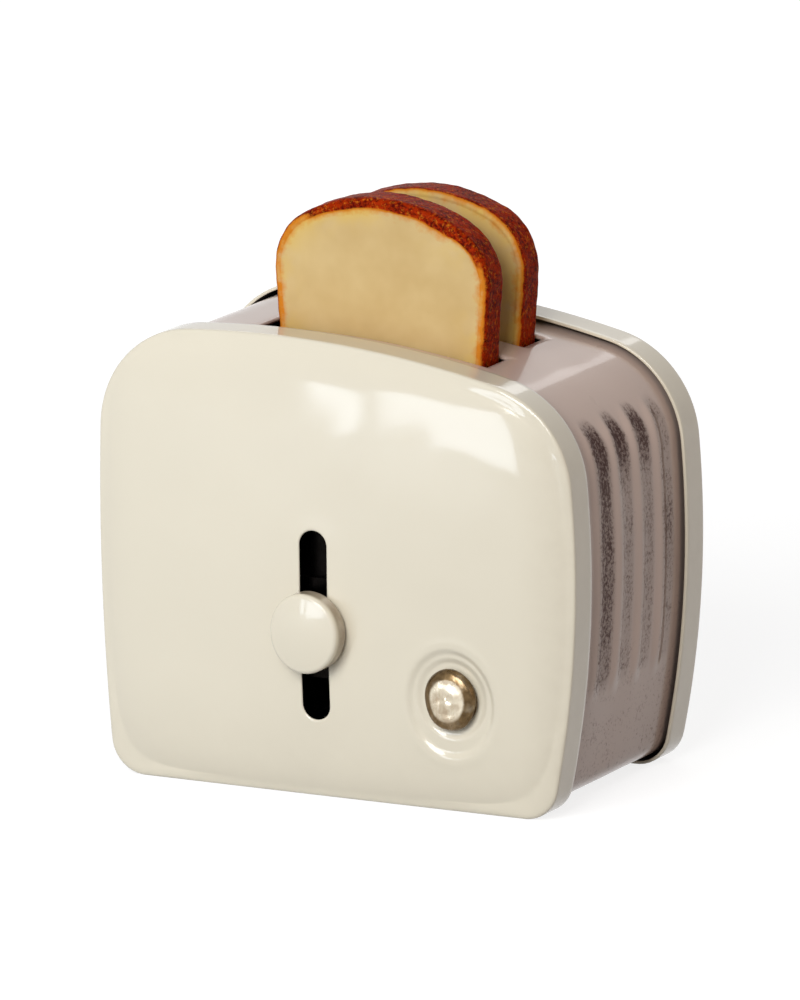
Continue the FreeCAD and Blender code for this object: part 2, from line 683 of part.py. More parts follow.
def make_carriage():
    # The lift carriage: an arm up from the slider, a tray back under both slices and the
    # low lips that keep each slice in its place.
    body = new_body("lift_carriage")
    arm = new_sketch(body, "carriage_arm_outline", "XZ", offset="arm_front")
    add_rectangle(arm, "lever_slot_x - carriage_arm_width / 2",
                  "lever_slot_x + carriage_arm_width / 2",
                  "lever_height - slider_height / 2", "tray_height")
    add_circle(arm, "lever_slot_x", "lever_height", "stem_diameter + 2 * fit_gap")
    pad(body, "carriage_arm", arm, "carriage_sheet", True)
    tray = new_sketch(body, "carriage_tray_outline", "XY", offset="tray_height - carriage_sheet")
    add_polygon(tray, [
        ("lever_slot_x - carriage_arm_width / 2", "-arm_front"),
        ("lever_slot_x + carriage_arm_width / 2", "-arm_front"),
        ("lever_slot_x + carriage_arm_width / 2", "-tray_front"),
        ("slice_x + tray_width / 2", "-tray_front"),
        ("slice_x + tray_width / 2", "tray_front"),
        ("slice_x - tray_width / 2", "tray_front"),
        ("slice_x - tray_width / 2", "-tray_front"),
        ("lever_slot_x - carriage_arm_width / 2", "-tray_front"),
    ])
    pad(body, "carriage_tray", tray, "carriage_sheet")
    lips = new_sketch(body, "carriage_lip_outlines", "XY", offset="tray_height")
    inner = "(bread_slot_spacing / 2 - slice_thickness / 2 - running_gap)"
    walls = [("-tray_front", "-(tray_front - carriage_sheet)"),
             ("-%s" % inner, "carriage_sheet - %s" % inner),
             ("%s - carriage_sheet" % inner, inner),
             ("tray_front - carriage_sheet", "tray_front")]
    for near, far in walls:
        add_rectangle(lips, "slice_x - tray_width / 2", "slice_x + tray_width / 2", near, far)
    pad(body, "carriage_lips", lips, "tray_lip")


def make_dial():
    # A domed button in the dish, on a shank that a spring washer and a push nut hold.
    ball = document.addObject("Part::Sphere", "dial_ball")
    bind(ball, Radius="dial_ball_radius", Placement__Base__x="dial_x",
         Placement__Base__y="-(dial_top - dial_ball_radius)", Placement__Base__z="dial_height")
    towards_front = FreeCAD.Rotation(FreeCAD.Vector(1, 0, 0), 90)
    rounds = []
    for name, diameter, back, length in (
            ("dial_rim", "dial_diameter", "dial_seat", "dial_dome + dial_skirt"),
            ("dial_shank", "dial_shank_diameter", "dial_back", "dial_seat - dial_back + dial_skirt")):
        cylinder = add_cylinder(name, diameter, length)
        cylinder.Placement.Rotation = towards_front
        bind(cylinder, Placement__Base__x="dial_x", Placement__Base__y="-(%s)" % back,
             Placement__Base__z="dial_height")
        rounds.append(cylinder)
    cap = document.addObject("Part::MultiCommon", "dial_cap")
    cap.Shapes = [ball, rounds[0]]
    button = document.addObject("Part::MultiFuse", "dial_button_piece")
    button.Shapes = [cap, rounds[1]]
    button.Label = "dial_button"
    sub_parts["dial_button"] = button
    bore = "dial_shank_diameter + 2 * fit_gap"
    make_disc("dial_spring_washer", "dial_x", "dial_height", "dial_washer_front",
              "dial_washer_thickness", "dial_washer_diameter", bore)
    make_disc("dial_push_nut", "dial_x", "dial_height", "dial_nut_front",
              "push_nut_thickness", "push_nut_diameter", bore)


def add_slice_outline(sketch):
    # A loaf slice: flat foot, straight flaring sides, round shoulders and a crowned top.
    foot = size["slice_foot"]
    middle = size["slice_x"]
    shoulder = size["slice_shoulder_radius"]
    crown = size["slice_crown_radius"]
    crown_centre = (middle, foot + size["slice_height"] - crown)
    foot_reach = size["slice_foot_width"] / 2
    shoulder_x = size["slice_width"] / 2 - shoulder
    shoulder_z = crown_centre[1] + math.sqrt((crown - shoulder) ** 2 - shoulder_x ** 2)
    # The side runs from the foot's corner to touch the shoulder arc.
    span = math.dist((foot_reach, foot), (shoulder_x, shoulder_z))
    aim = math.atan2(shoulder_z - foot, shoulder_x - foot_reach)
    lean = aim - math.asin(shoulder / span)
    touch = math.sqrt(span ** 2 - shoulder ** 2)
    touch_reach = foot_reach + touch * math.cos(lean)
    touch_z = foot + touch * math.sin(lean)

    def point(reach, height):
        return FreeCAD.Vector(middle + reach, height, 0)

    right_centre = (middle + shoulder_x, shoulder_z)
    left_centre = (middle - shoulder_x, shoulder_z)
    crown_right = beyond(crown_centre, right_centre, shoulder)
    crown_left = beyond(crown_centre, left_centre, shoulder)
    pieces = [
        (Part.LineSegment(point(-foot_reach, foot), point(foot_reach, foot)), 1, 2),
        (Part.LineSegment(point(foot_reach, foot), point(touch_reach, touch_z)), 1, 2),
        (arc_between(right_centre, shoulder, (middle + touch_reach, touch_z), crown_right), 1, 2),
        (arc_between(crown_centre, crown, crown_right, crown_left), 1, 2),
        (arc_between(left_centre, shoulder, crown_left, (middle - touch_reach, touch_z)), 1, 2),
        (Part.LineSegment(point(-touch_reach, touch_z), point(-foot_reach, foot)), 1, 2),
    ]
    lines = add_chain(sketch, pieces, tangent_joints=(1, 2, 3, 4))
    pin_point(sketch, lines[0], 1, "slice_x - slice_foot_width / 2", "slice_foot")
    pin_point(sketch, lines[0], 2, "slice_x + slice_foot_width / 2", "slice_foot")
    pin_point(sketch, lines[3], 3, "slice_x", "slice_foot + slice_height - slice_crown_radius")
    dimension(sketch, "Radius", lines[3], formula="slice_crown_radius")
    for place, sign in ((2, "+"), (4, "-")):
        dimension(sketch, "Radius", lines[place], formula="slice_shoulder_radius")
        dimension(sketch, "DistanceX", -1, 1, lines[place], 3,
                  formula="slice_x %s (slice_width / 2 - slice_shoulder_radius)" % sign)


def make_slice(node, sign):
    body = new_body(node)
    front = "(slice_thickness / 2 %s bread_slot_spacing / 2)" % sign
    outline = new_sketch(body, node + "_outline", "XZ", offset=front)
    add_slice_outline(outline)
    loaf = pad(body, node + "_crumb", outline, "slice_thickness", True)
    document.recompute()
    near = -number(front)
    edges = face_edges(loaf.Shape, near) + face_edges(loaf.Shape, near + size["slice_thickness"])
    fillet(body, node + "_crust", loaf, edges, "slice_crust_round")


make_cover("front_cover", -1)
cut_lever_slot(sub_parts["front_cover"])
press_dish(sub_parts["front_cover"])
make_cover("rear_cover", 1)
rivet_places = [(x, y) for x in ("left_rivet_x", "right_rivet_x")
                for y in ("-base_rivet_spacing / 2", "base_rivet_spacing / 2")]
make_wrap()
make_base_plate()
make_base_rivets()
make_rail("guide_rail_left", "-")
make_rail("guide_rail_right", "+")
make_lever()
make_carriage()
make_dial()
make_slice("bread_slice_front", "+")
make_slice("bread_slice_rear", "-")

# The whole is moved back by half the knob's reach, so that its box is centred on the origin.
for piece in sub_parts.values():
    bind(piece, Placement__Base__y="(knob_front - face_front) / 2")
document.recompute()

faults = []
for feature in document.Objects:
    if "Invalid" in feature.State or "Error" in feature.State:
        faults.append(feature.Name)
for node, piece in sub_parts.items():
    if piece.Shape.isNull() or not piece.Shape.isValid():
        faults.append(node)
if faults:
    raise RuntimeError("These features failed: " + ", ".join(faults))

os.makedirs("parts", exist_ok=True)
for node, piece in sub_parts.items():
    piece.Shape.exportStep("parts/%s.step" % node)
    box = piece.Shape.BoundBox
    print("%-20s %d solid(s) %9.2f mm3  z %.2f to %.2f" % (
        node, len(piece.Shape.Solids), piece.Shape.Volume, box.ZMin, box.ZMax))
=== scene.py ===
import bpy
import json
import numpy as np
from mathutils import Matrix, Quaternion, Vector

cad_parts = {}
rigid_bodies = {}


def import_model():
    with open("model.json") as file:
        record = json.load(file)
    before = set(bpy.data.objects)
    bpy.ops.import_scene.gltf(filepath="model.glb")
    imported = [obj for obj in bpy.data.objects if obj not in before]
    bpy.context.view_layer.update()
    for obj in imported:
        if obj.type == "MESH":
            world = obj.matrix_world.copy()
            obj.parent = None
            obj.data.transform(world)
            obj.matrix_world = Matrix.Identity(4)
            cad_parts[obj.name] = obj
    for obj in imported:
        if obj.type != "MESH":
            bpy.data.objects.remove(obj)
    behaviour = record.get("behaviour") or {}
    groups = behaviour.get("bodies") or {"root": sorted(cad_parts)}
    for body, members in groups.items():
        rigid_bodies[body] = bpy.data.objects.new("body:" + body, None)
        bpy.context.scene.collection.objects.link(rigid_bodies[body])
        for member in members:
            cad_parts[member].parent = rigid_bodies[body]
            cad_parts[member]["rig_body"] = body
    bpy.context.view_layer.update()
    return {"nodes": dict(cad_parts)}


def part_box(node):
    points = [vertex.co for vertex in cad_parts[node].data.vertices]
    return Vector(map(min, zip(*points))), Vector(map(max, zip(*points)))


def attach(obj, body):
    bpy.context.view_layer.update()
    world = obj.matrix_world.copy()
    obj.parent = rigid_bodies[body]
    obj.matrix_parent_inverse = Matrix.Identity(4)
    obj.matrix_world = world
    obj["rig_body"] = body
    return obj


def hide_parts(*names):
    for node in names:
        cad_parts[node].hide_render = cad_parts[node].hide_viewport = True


# Miniature pressed-tin toy toaster. Lengths in the dictionaries are millimetres.
# X runs to the right of the lever face, Y runs back from it, Z runs up from the floor.

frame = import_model()
mm = 0.001


def nodeSpan(node):
    # lowest and highest corner of a node, in millimetres
    low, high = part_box(node)
    return np.array(low) / mm, np.array(high) / mm


# the case's middle, which lies a little behind the origin
middleY = (nodeSpan("front_cover")[0][1] + nodeSpan("rear_cover")[1][1]) / 2

caseForm = {
    "width": 63.0,
    "height": 55.0,
    "crownRadius": 137.0,
    "crownOffset": -9.8,  # the crown's centre lies left of the middle
    "leftSideRadius": 330.0,
    "rightSideRadius": 125.0,
    "widestHeight": 29.6,
    "topCornerRadius": 12.9,
    "baseCornerRadius": 4.4,
}


def circleCrossing(first, firstReach, second, secondReach, side):
    # where two circles cross: the upper point on the right (side 1) or the left (side -1)
    gap = second - first
    span = np.hypot(*gap)
    along = (firstReach ** 2 - secondReach ** 2 + span ** 2) / (2 * span)
    across = np.sqrt(firstReach ** 2 - along ** 2)
    normal = np.array([-gap[1], gap[0]]) / span
    choices = [first + gap * along / span + turn * across * normal for turn in (1, -1)]
    return max(choices, key=lambda point: side * point[0] + point[1])


def caseOutline(form):
    # A closed chain of seven arcs and the foot line, all tangent, sampled densely.
    # Gives points, outward normals and the running length, starting at the foot's middle.
    half, widest = form["width"] / 2, form["widestHeight"]
    corner, base = form["topCornerRadius"], form["baseCornerRadius"]
    crown, rightSide, leftSide = form["crownRadius"], form["rightSideRadius"], form["leftSideRadius"]
    top = np.array([form["crownOffset"], form["height"] - crown])
    right, left = np.array([half - rightSide, widest]), np.array([leftSide - half, widest])
    upperRight = circleCrossing(top, crown - corner, right, rightSide - corner, 1)
    upperLeft = circleCrossing(top, crown - corner, left, leftSide - corner, -1)
    rise = widest - base
    lowerRight = np.array([right[0] + np.sqrt((rightSide - base) ** 2 - rise ** 2), base])
    lowerLeft = np.array([left[0] - np.sqrt((leftSide - base) ** 2 - rise ** 2), base])
    circles = [(lowerRight, base), (right, rightSide), (upperRight, corner), (top, crown),
               (upperLeft, corner), (left, leftSide), (lowerLeft, base)]
    # neighbouring arcs meet on the line through their centres, on the smaller circle's side
    turns = [-np.pi / 2]
    for (first, firstRadius), (second, secondRadius) in zip(circles, circles[1:]):
        away = first - second if firstRadius < secondRadius else second - first
        turn = np.arctan2(away[1], away[0])
        turns.append(turn % (2 * np.pi) if away[0] < 0 else turn)
    turns.append(1.5 * np.pi)
    steps = 3000
    share = np.linspace(0, 1, steps, endpoint=False)
    flat, down = np.zeros(steps), np.tile([0.0, -1.0], (steps, 1))
    points, normals = [np.stack([lowerRight[0] * share, flat], 1)], [down]
    for (centre, radius), start, stop in zip(circles, turns, turns[1:]):
        angle = start + (stop - start) * share
        outward = np.stack([np.cos(angle), np.sin(angle)], 1)
        points.append(centre + radius * outward)
        normals.append(outward)
    points = np.vstack(points + [np.stack([lowerLeft[0] * (1 - share), flat], 1), points[0][:1]])
    normals = np.vstack(normals + [down, down[:1]])
    run = np.concatenate([[0], np.cumsum(np.hypot(*np.diff(points, axis=0).T))])
    return {"points": points, "normals": normals, "run": run, "arcs": [circles[k] for k in (3, 1, 5)],
            "floor": (lowerLeft[0], lowerRight[0])}


outline = caseOutline(caseForm)


def alongOutline(distance, inset):
    # the outline's point at a running length, drawn in along its normal by inset, and its normal
    at = np.mod(distance, outline["run"][-1])
    point, normal = (np.stack([np.interp(at, outline["run"], outline[key][:, k]) for k in (0, 1)], -1)
                     for key in ("points", "normals"))
    normal /= np.linalg.norm(normal, axis=-1, keepdims=True)
    return point - normal * np.asarray(inset)[..., None], normal


def edgeDistance(x, z, softness=3.0):
    # How far inside the case a point lies: a soft minimum of its distance to the crown, to both
    # sides and to the foot, which rounds the corners.
    distances = [radius - np.hypot(x - centre[0], z - centre[1]) for centre, radius in outline["arcs"]]
    distances.append(z)
    return -softness * np.log(sum(np.exp(-distance / softness) for distance in distances))


def smoothCurve(value, stops, heights, blur=0.035):
    # a polyline through some stops, softened by averaging it over a small span
    offsets = np.linspace(-blur, blur, 9)
    return np.mean([np.interp(np.clip(value + offset, 0, 1), stops, heights) for offset in offsets], axis=0)


def smoothStep(value, low, high):
    share = np.clip((value - low) / (high - low), 0, 1)
    return share * share * (3 - 2 * share)


def spread(count, places, closed=False):
    # Shares from 0 to 1 with more of them near some places: (place, width, extra density).
    fine = np.linspace(0, 1, 4001)
    density = np.ones_like(fine)
    for place, width, extra in places:
        density += extra * np.exp(-((fine - place) / width) ** 2)
    total = np.concatenate([[0], np.cumsum((density[1:] + density[:-1]) / 2)])
    wanted = np.linspace(0, total[-1], count + 1)[:-1] if closed else np.linspace(0, total[-1], count)
    return np.interp(wanted, total, fine)


def gridFaces(rows, columns, closedRows=False, closedColumns=False, keep=None):
    # quads of a grid whose points are numbered row by row
    rowIndex = np.arange(rows if closedRows else rows - 1)
    columnIndex = np.arange(columns if closedColumns else columns - 1)
    row, column = np.meshgrid(rowIndex, columnIndex, indexing="ij")
    nextRow, nextColumn = (row + 1) % rows, (column + 1) % columns
    quads = np.stack([row * columns + column, row * columns + nextColumn,
                      nextRow * columns + nextColumn, nextRow * columns + column], -1)
    return quads[keep] if keep is not None else quads.reshape(-1, 4)


def addMesh(name, points, faces, materials, body, replaced, attributes, faceMaterial=None, fans=()):
    # points in millimetres; fans are (pole point, ring of point numbers) that close a hole
    mesh = bpy.data.meshes.new(name)
    allPoints = np.asarray(points, float).reshape(-1, 3)
    triangles = []
    for pole, ring in fans:
        tip = len(allPoints)
        allPoints = np.vstack([allPoints, pole])
        triangles.append(np.stack([ring, np.roll(ring, -1), np.full(len(ring), tip)], -1))
    polygons = faces.tolist() + [row for block in triangles for row in block.tolist()]
    mesh.from_pydata((allPoints * mm).tolist(), [], polygons)
    for material in materials:
        mesh.materials.append(material)
    mesh.polygons.foreach_set("use_smooth", np.ones(len(mesh.polygons), bool))
    if faceMaterial is not None:
        filled = np.zeros(len(mesh.polygons), np.int32)
        filled[:len(faceMaterial)] = faceMaterial
        mesh.polygons.foreach_set("material_index", filled)
    for key, values in attributes.items():
        padded = np.zeros(len(allPoints), np.float32)
        padded[:len(values)] = values
        mesh.attributes.new(key, "FLOAT", "POINT").data.foreach_set("value", padded)
    mesh.validate()
    mesh.update()
    piece = bpy.data.objects.new(name, mesh)
    bpy.context.scene.collection.objects.link(piece)
    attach(piece, body)
    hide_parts(*replaced)
    return piece


# Camera: the photograph's viewing angle, seen from far away with a long lens

cameraView = {
    "azimuth": 27.97,
    "elevation": 12.89,
    "roll": -0.81,
    "distance": 1500.0,
    "target": (-0.21, 1.65, 32.40),
    "focalPixels": 12705.0,
    "imageHeight": 1000.0,
}


def addCamera(view):
    azimuth, elevation, roll = np.radians([view["azimuth"], view["elevation"], view["roll"]])
    level = np.cos(elevation)
    back = Vector((np.sin(azimuth) * level, -np.cos(azimuth) * level, np.sin(elevation)))
    right = Vector((np.cos(azimuth), np.sin(azimuth), 0))
    up = back.cross(right)
    turnedRight = right * np.cos(roll) + up * np.sin(roll)
    turnedUp = up * np.cos(roll) - right * np.sin(roll)
    place = (Vector(view["target"]) + back * view["distance"]) * mm
    data = bpy.data.cameras.new("photoCamera")
    data.lens = view["focalPixels"] * data.sensor_width / view["imageHeight"]
    data.clip_start = 0.05
    data.clip_end = 20.0
    camera = bpy.data.objects.new("photoCamera", data)
    turn = Matrix((turnedRight, turnedUp, back)).transposed().to_4x4()
    camera.matrix_world = Matrix.Translation(place) @ turn
    bpy.context.scene.collection.objects.link(camera)
    bpy.context.scene.camera = camera


addCamera(cameraView)
print("camera placed")


# Materials: colours are linear, noise entries are scale, detail and roughness

def addNode(tree, kind, **values):
    node = tree.nodes.new(kind)
    for key, value in values.items():
        setattr(node, key, value)
    return node


def putIn(socket, value):
    # an output is linked to the socket; a number, vector or colour is set in it
    if isinstance(value, bpy.types.NodeSocket):
        socket.id_data.links.new(value, socket)
    else:
        socket.default_value = (*value, 1.0) if socket.type == "RGBA" else value


def feed(node, values):
    for key, value in values.items():
        putIn(node.inputs[key], value)
    return node


def newMaterial(name):
    material = bpy.data.materials.new(name)
    material.use_nodes = True
    tree = material.node_tree
    vector = addNode(tree, "ShaderNodeTexCoord").outputs["Object"]
    return material, tree, vector, tree.nodes["Principled BSDF"]


def mathNode(tree, operation, *values, clamp=False):
    node = addNode(tree, "ShaderNodeMath", operation=operation, use_clamp=clamp)
    for socket, value in zip(node.inputs, values):
        putIn(socket, value)
    return node.outputs[0]


def mixColour(tree, share, first, second, blend="MIX"):
    node = addNode(tree, "ShaderNodeMix", data_type="RGBA", blend_type=blend)
    for index, value in ((0, share), (6, first), (7, second)):
        putIn(node.inputs[index], value)
    return node.outputs[2]


def noiseNode(tree, vector, scale, detail=3.0, roughness=0.5):
    node = addNode(tree, "ShaderNodeTexNoise")
    feed(node, {"Vector": vector, "Scale": scale, "Detail": detail, "Roughness": roughness})
    return node.outputs["Fac"]


def rangeNode(tree, value, low, high, newLow=0.0, newHigh=1.0):
    node = addNode(tree, "ShaderNodeMapRange")
    feed(node, {"Value": value, "From Min": low, "From Max": high, "To Min": newLow, "To Max": newHigh})
    return node.outputs["Result"]


def attributeNode(tree, name):
    return addNode(tree, "ShaderNodeAttribute", attribute_name=name).outputs["Fac"]


def rareSpots(tree, vector, scale, size, channel, limit):
    # small round spots in the few cells whose random number is above a limit
    cells = feed(addNode(tree, "ShaderNodeTexVoronoi"), {"Vector": vector, "Scale": scale})
    random = feed(addNode(tree, "ShaderNodeSeparateColor"), {"Color": cells.outputs["Color"]})
    spot = mathNode(tree, "LESS_THAN", cells.outputs["Distance"], size)
    return mathNode(tree, "MULTIPLY", spot, mathNode(tree, "GREATER_THAN", random.outputs[channel], limit))


def addBump(shader, height, strength, distance):
    bump = addNode(shader.id_data, "ShaderNodeBump")
    feed(bump, {"Strength": strength, "Distance": distance * mm, "Height": height})
    feed(shader, {"Normal": bump.outputs["Normal"]})


def newGroup(name, inputs, outputs):
    # sockets by name, each with its kind; every group also takes a vector
    tree = bpy.data.node_groups.new(name, "ShaderNodeTree")
    for direction, sockets in (("INPUT", {"vector": "Vector", **inputs}), ("OUTPUT", outputs)):
        for key, kind in sockets.items():
            tree.interface.new_socket(key, in_out=direction, socket_type="NodeSocket" + kind)
    given, result = tree.nodes.new("NodeGroupInput"), tree.nodes.new("NodeGroupOutput")
    return tree, given.outputs["vector"], given.outputs, result


def useGroup(tree, group, vector, values):
    node = addNode(tree, "ShaderNodeGroup", node_tree=group)
    return feed(node, {"vector": vector, **values}).outputs


skinOutputs = {"colour": "Color", "roughness": "Float", "height": "Float"}
enamelForm = {
    "driftNoise": (55.0, 2.0),
    "specks": (210.0, 0.045, "Red", 0.93),  # scale, size, channel, limit
    "speckColour": (0.12, 0.09, 0.06),
    "glossNoise": (130.0, 3.0),
}


def enamelGroup(form):
    # sprayed enamel: orange peel, slow colour drift, roughness drift and sparse dirt specks
    inputs = {"paint": "Color", "drift": "Float", "peelScale": "Float", "specks": "Float", "gloss": "Float"}
    tree, vector, given, result = newGroup("enamelSkin", inputs, skinOutputs)
    tone = rangeNode(tree, noiseNode(tree, vector, *form["driftNoise"]), 0.1, 0.9, -2.0, 2.0)
    shade = mathNode(tree, "MULTIPLY_ADD", tone, given["drift"], 1.0)
    toned = mixColour(tree, 1.0, given["paint"], shade, "MULTIPLY")
    specks = mathNode(tree, "MULTIPLY", rareSpots(tree, vector, *form["specks"]), given["specks"])
    rough = rangeNode(tree, noiseNode(tree, vector, *form["glossNoise"]), 0.1, 0.9, 0.7, 1.4)
    feed(result, {"colour": mixColour(tree, specks, toned, form["speckColour"]),
                  "roughness": mathNode(tree, "MULTIPLY", rough, given["gloss"]),
                  "height": noiseNode(tree, vector, given["peelScale"], 2.0)})
    return tree


def speckleGroup():
    # grain of two sizes, cut to separate dark specks by a coverage value
    inputs = {"coverage": "Float", "grainScale": "Float"}
    tree, vector, given, result = newGroup("darkSpeckle", inputs, {"mask": "Float"})
    fine = noiseNode(tree, vector, given["grainScale"], 3.0, 0.7)
    coarse = mathNode(tree, "MULTIPLY", noiseNode(tree, vector, 330.0, 2.0), 0.35)
    level = mathNode(tree, "ADD", mathNode(tree, "ADD", fine, coarse), given["coverage"])
    feed(result, {"mask": rangeNode(tree, level, 1.02, 1.24)})
    return tree


wornForm = {
    "scratches": ((0.5, 900.0), (-0.9, 1300.0)),  # turn in radians, scale
    "scratchStretch": (1.0, 1.0, 0.12),
    "patchNoise": (420.0, 4.0, 0.6),
    "beatenNoise": (620.0, 2.0),
}


def scratchGroup(form):
    # fine scratches from noise stretched in two directions, patches of tarnish and a beaten height
    inputs = {"metal": "Color", "tarnish": "Color", "amount": "Float"}
    tree, vector, given, result = newGroup("wornMetal", inputs, skinOutputs)
    scratches = []
    for turn, scale in form["scratches"]:
        mapping = addNode(tree, "ShaderNodeMapping")
        feed(mapping, {"Vector": vector, "Rotation": (0.0, turn, 0.0), "Scale": form["scratchStretch"]})
        scratches.append(noiseNode(tree, mapping.outputs["Vector"], scale, 2.0))
    lines = mathNode(tree, "MULTIPLY", *scratches)
    patch = rangeNode(tree, noiseNode(tree, vector, *form["patchNoise"]), 0.42, 0.62)
    stain = mathNode(tree, "MULTIPLY", patch, given["amount"], clamp=True)
    beaten = noiseNode(tree, vector, *form["beatenNoise"])
    feed(result, {"colour": mixColour(tree, stain, given["metal"], given["tarnish"]),
                  "roughness": rangeNode(tree, lines, 0.1, 0.4, 0.18, 0.36),
                  "height": mathNode(tree, "ADD", lines, beaten)})
    return tree


enamelSkin = enamelGroup(enamelForm)
darkSpeckle = speckleGroup()
wornMetal = scratchGroup(wornForm)
peelHeight = 0.012

creamLook = {
    "skin": {"paint": (0.760, 0.694, 0.552), "drift": 0.012, "peelScale": 260.0, "specks": 0.7,
             "gloss": 0.32},
    # brown of the painted shade
    "creamShade": (0.340, 0.265, 0.180),
    "creamShadeNoise": (500.0, 3.0),
    "creamShadeRange": (0.3, 0.7, 0.65, 1.1),
    "shader": {"Specular IOR Level": 0.12, "Coat Weight": 0.9, "Coat Roughness": 0.085},
    "peelStrength": 0.15,
}


def creamPaint(look):
    # cream enamel with painted shade: browned in patches where its shade attribute says so
    material, tree, vector, shader = newMaterial("creamEnamel")
    skin = useGroup(tree, enamelSkin, vector, look["skin"])
    patches = rangeNode(tree, noiseNode(tree, vector, *look["creamShadeNoise"]), *look["creamShadeRange"])
    creamShade = mathNode(tree, "MULTIPLY", attributeNode(tree, "creamShade"), patches, clamp=True)
    feed(shader, {"Base Color": mixColour(tree, creamShade, skin["colour"], look["creamShade"]),
                  "Roughness": skin["roughness"], **look["shader"]})
    addBump(shader, skin["height"], look["peelStrength"], peelHeight)
    return material


wrapLook = {
    "skin": {"paint": (0.604, 0.458, 0.386), "drift": 0.05, "peelScale": 1100.0, "specks": 1.0,
             "gloss": 0.3},
    # dark brown of the painted shade behind the ribs
    "ribShadeColour": (0.082, 0.045, 0.040),
    "grainScale": 2300.0,
    "coverage": (0.38, 0.17),  # per ribShade, and at none
    "veil": 0.55,  # even darkening per ribShade
    "speckShare": 0.5,
    "shadeStart": 0.35,  # ribShade below which the painted shade fades out
    "shadeRoughness": 0.35,
    "coat": (-0.70, 0.62),  # per painted shade, and where unshaded
    "shader": {"Specular IOR Level": 0.08, "Coat Roughness": 0.10},
    "peelStrength": 0.4,
}


def wrapPaint(look):
    # the wrap's enamel, with painted shade and dark speckle behind the ribs and towards the foot, where the
    # ribShade attribute says so
    material, tree, vector, shader = newMaterial("wrapEnamel")
    skin = useGroup(tree, enamelSkin, vector, look["skin"])
    shade = attributeNode(tree, "ribShade")
    coverage = mathNode(tree, "MULTIPLY_ADD", shade, *look["coverage"])
    speckle = useGroup(tree, darkSpeckle, vector, {"grainScale": look["grainScale"], "coverage": coverage})
    veil = mathNode(tree, "MULTIPLY", shade, look["veil"])
    # painted shade: an even darkening plus dark grain, wherever ribShade is high enough
    bandShade = mathNode(tree, "MULTIPLY_ADD", speckle["mask"], look["speckShare"], veil)
    fade = rangeNode(tree, shade, 0.0, look["shadeStart"])
    bandShade = mathNode(tree, "MULTIPLY", bandShade, fade, clamp=True)
    rough = mathNode(tree, "MULTIPLY_ADD", bandShade, look["shadeRoughness"], skin["roughness"])
    feed(shader, {"Base Color": mixColour(tree, bandShade, skin["colour"], look["ribShadeColour"]),
                  "Roughness": rough, "Coat Weight": mathNode(tree, "MULTIPLY_ADD", bandShade, *look["coat"]),
                  **look["shader"]})
    addBump(shader, skin["height"], look["peelStrength"], peelHeight)
    return material


nickelLook = {
    "skin": {"metal": (0.66, 0.59, 0.46), "tarnish": (0.30, 0.20, 0.11), "amount": 0.6},
    "patchNoise": (700.0, 3.0),
    "patchRange": (0.3, 0.7, -0.22, 0.22),
    "rimNoise": (1500.0, 3.0),
    "rimDark": (0.042, 0.024, 0.010),
    "rimPale": (0.22, 0.145, 0.070),
    "bump": (1.0, 0.09),  # strength, distance
}


def wornNickel(look):
    # worn nickel whose rimShade attribute browns the button's steep sides
    material, tree, vector, shader = newMaterial("wornNickel")
    worn = useGroup(tree, wornMetal, vector, look["skin"])
    shade = attributeNode(tree, "rimShade")
    patch = rangeNode(tree, noiseNode(tree, vector, *look["patchNoise"]), *look["patchRange"])
    dark = mathNode(tree, "MULTIPLY", mathNode(tree, "ADD", shade, patch), shade, clamp=True)
    rim = mixColour(tree, noiseNode(tree, vector, *look["rimNoise"]), look["rimDark"], look["rimPale"])
    feed(shader, {"Base Color": mixColour(tree, dark, worn["colour"], rim),
                  "Roughness": worn["roughness"], "Metallic": 1.0})
    addBump(shader, worn["height"], *look["bump"])
    return material


def metalMaterial(name, metal, tarnish, amount, scale=1.0):
    material, tree, vector, shader = newMaterial(name)
    mapping = feed(addNode(tree, "ShaderNodeMapping"), {"Vector": vector, "Scale": (scale, scale, scale)})
    skin = {"metal": metal, "tarnish": tarnish, "amount": amount}
    worn = useGroup(tree, wornMetal, mapping.outputs["Vector"], skin)
    feed(shader, {"Base Color": worn["colour"], "Roughness": worn["roughness"], "Metallic": 1.0})
    addBump(shader, worn["height"], 0.4, 0.03)
    return material


def grainyPaint(name, noise, dark, pale, rough):
    # a plain dark coat with fine grain in colour, roughness and height
    material, tree, vector, shader = newMaterial(name)
    grain = noiseNode(tree, vector, *noise)
    feed(shader, {"Base Color": mixColour(tree, grain, dark, pale),
                  "Roughness": rangeNode(tree, grain, 0.3, 0.7, *rough)})
    addBump(shader, grain, 0.3, 0.02)
    return material


breadLook = {
    "crumb": (0.600, 0.418, 0.183),
    "crumbPale": (0.665, 0.485, 0.228),
    "crumbYellow": (0.700, 0.470, 0.120),
    "pit": (0.50, 0.27, 0.03),
    "toasted": (0.640, 0.210, 0.018),
    "crust": (0.370, 0.024, 0.0015),
    "crustDark": (0.085, 0.003, 0.002),
    "crustSpark": (0.760, 0.220, 0.014),
    "warpNoise": (420.0, 4.0, 0.65),
    "warpRange": (0.3, 0.7, -0.14, 0.14),  # moves the crust's edges in and out
    "cloudNoise": (150.0, 3.0, 0.55),
    "yellowNoise": (260.0, 3.0),
    "pits": (260.0, 0.13, "Green", 0.965),  # scale, size, channel, limit
    "speckle": {"coverage": 0.44, "grainScale": 2400.0},
    "sparkNoise": (1900.0, 3.0, 0.75),
    "sparkAmount": 0.6,
    "bumpNoise": (1300.0, 4.0, 0.7),
    # crustShare over which each look begins
    "yellowFrom": (0.02, 0.42),
    "toastedFrom": (0.30, 0.56),
    "crustFrom": (0.62, 0.80),
    "roughness": (0.55, 0.75, 0.5, 0.42),
    "bumpRange": (0.5, 0.75, 0.12, 1.0),
    "bump": (0.9, 0.12),  # strength, distance
}


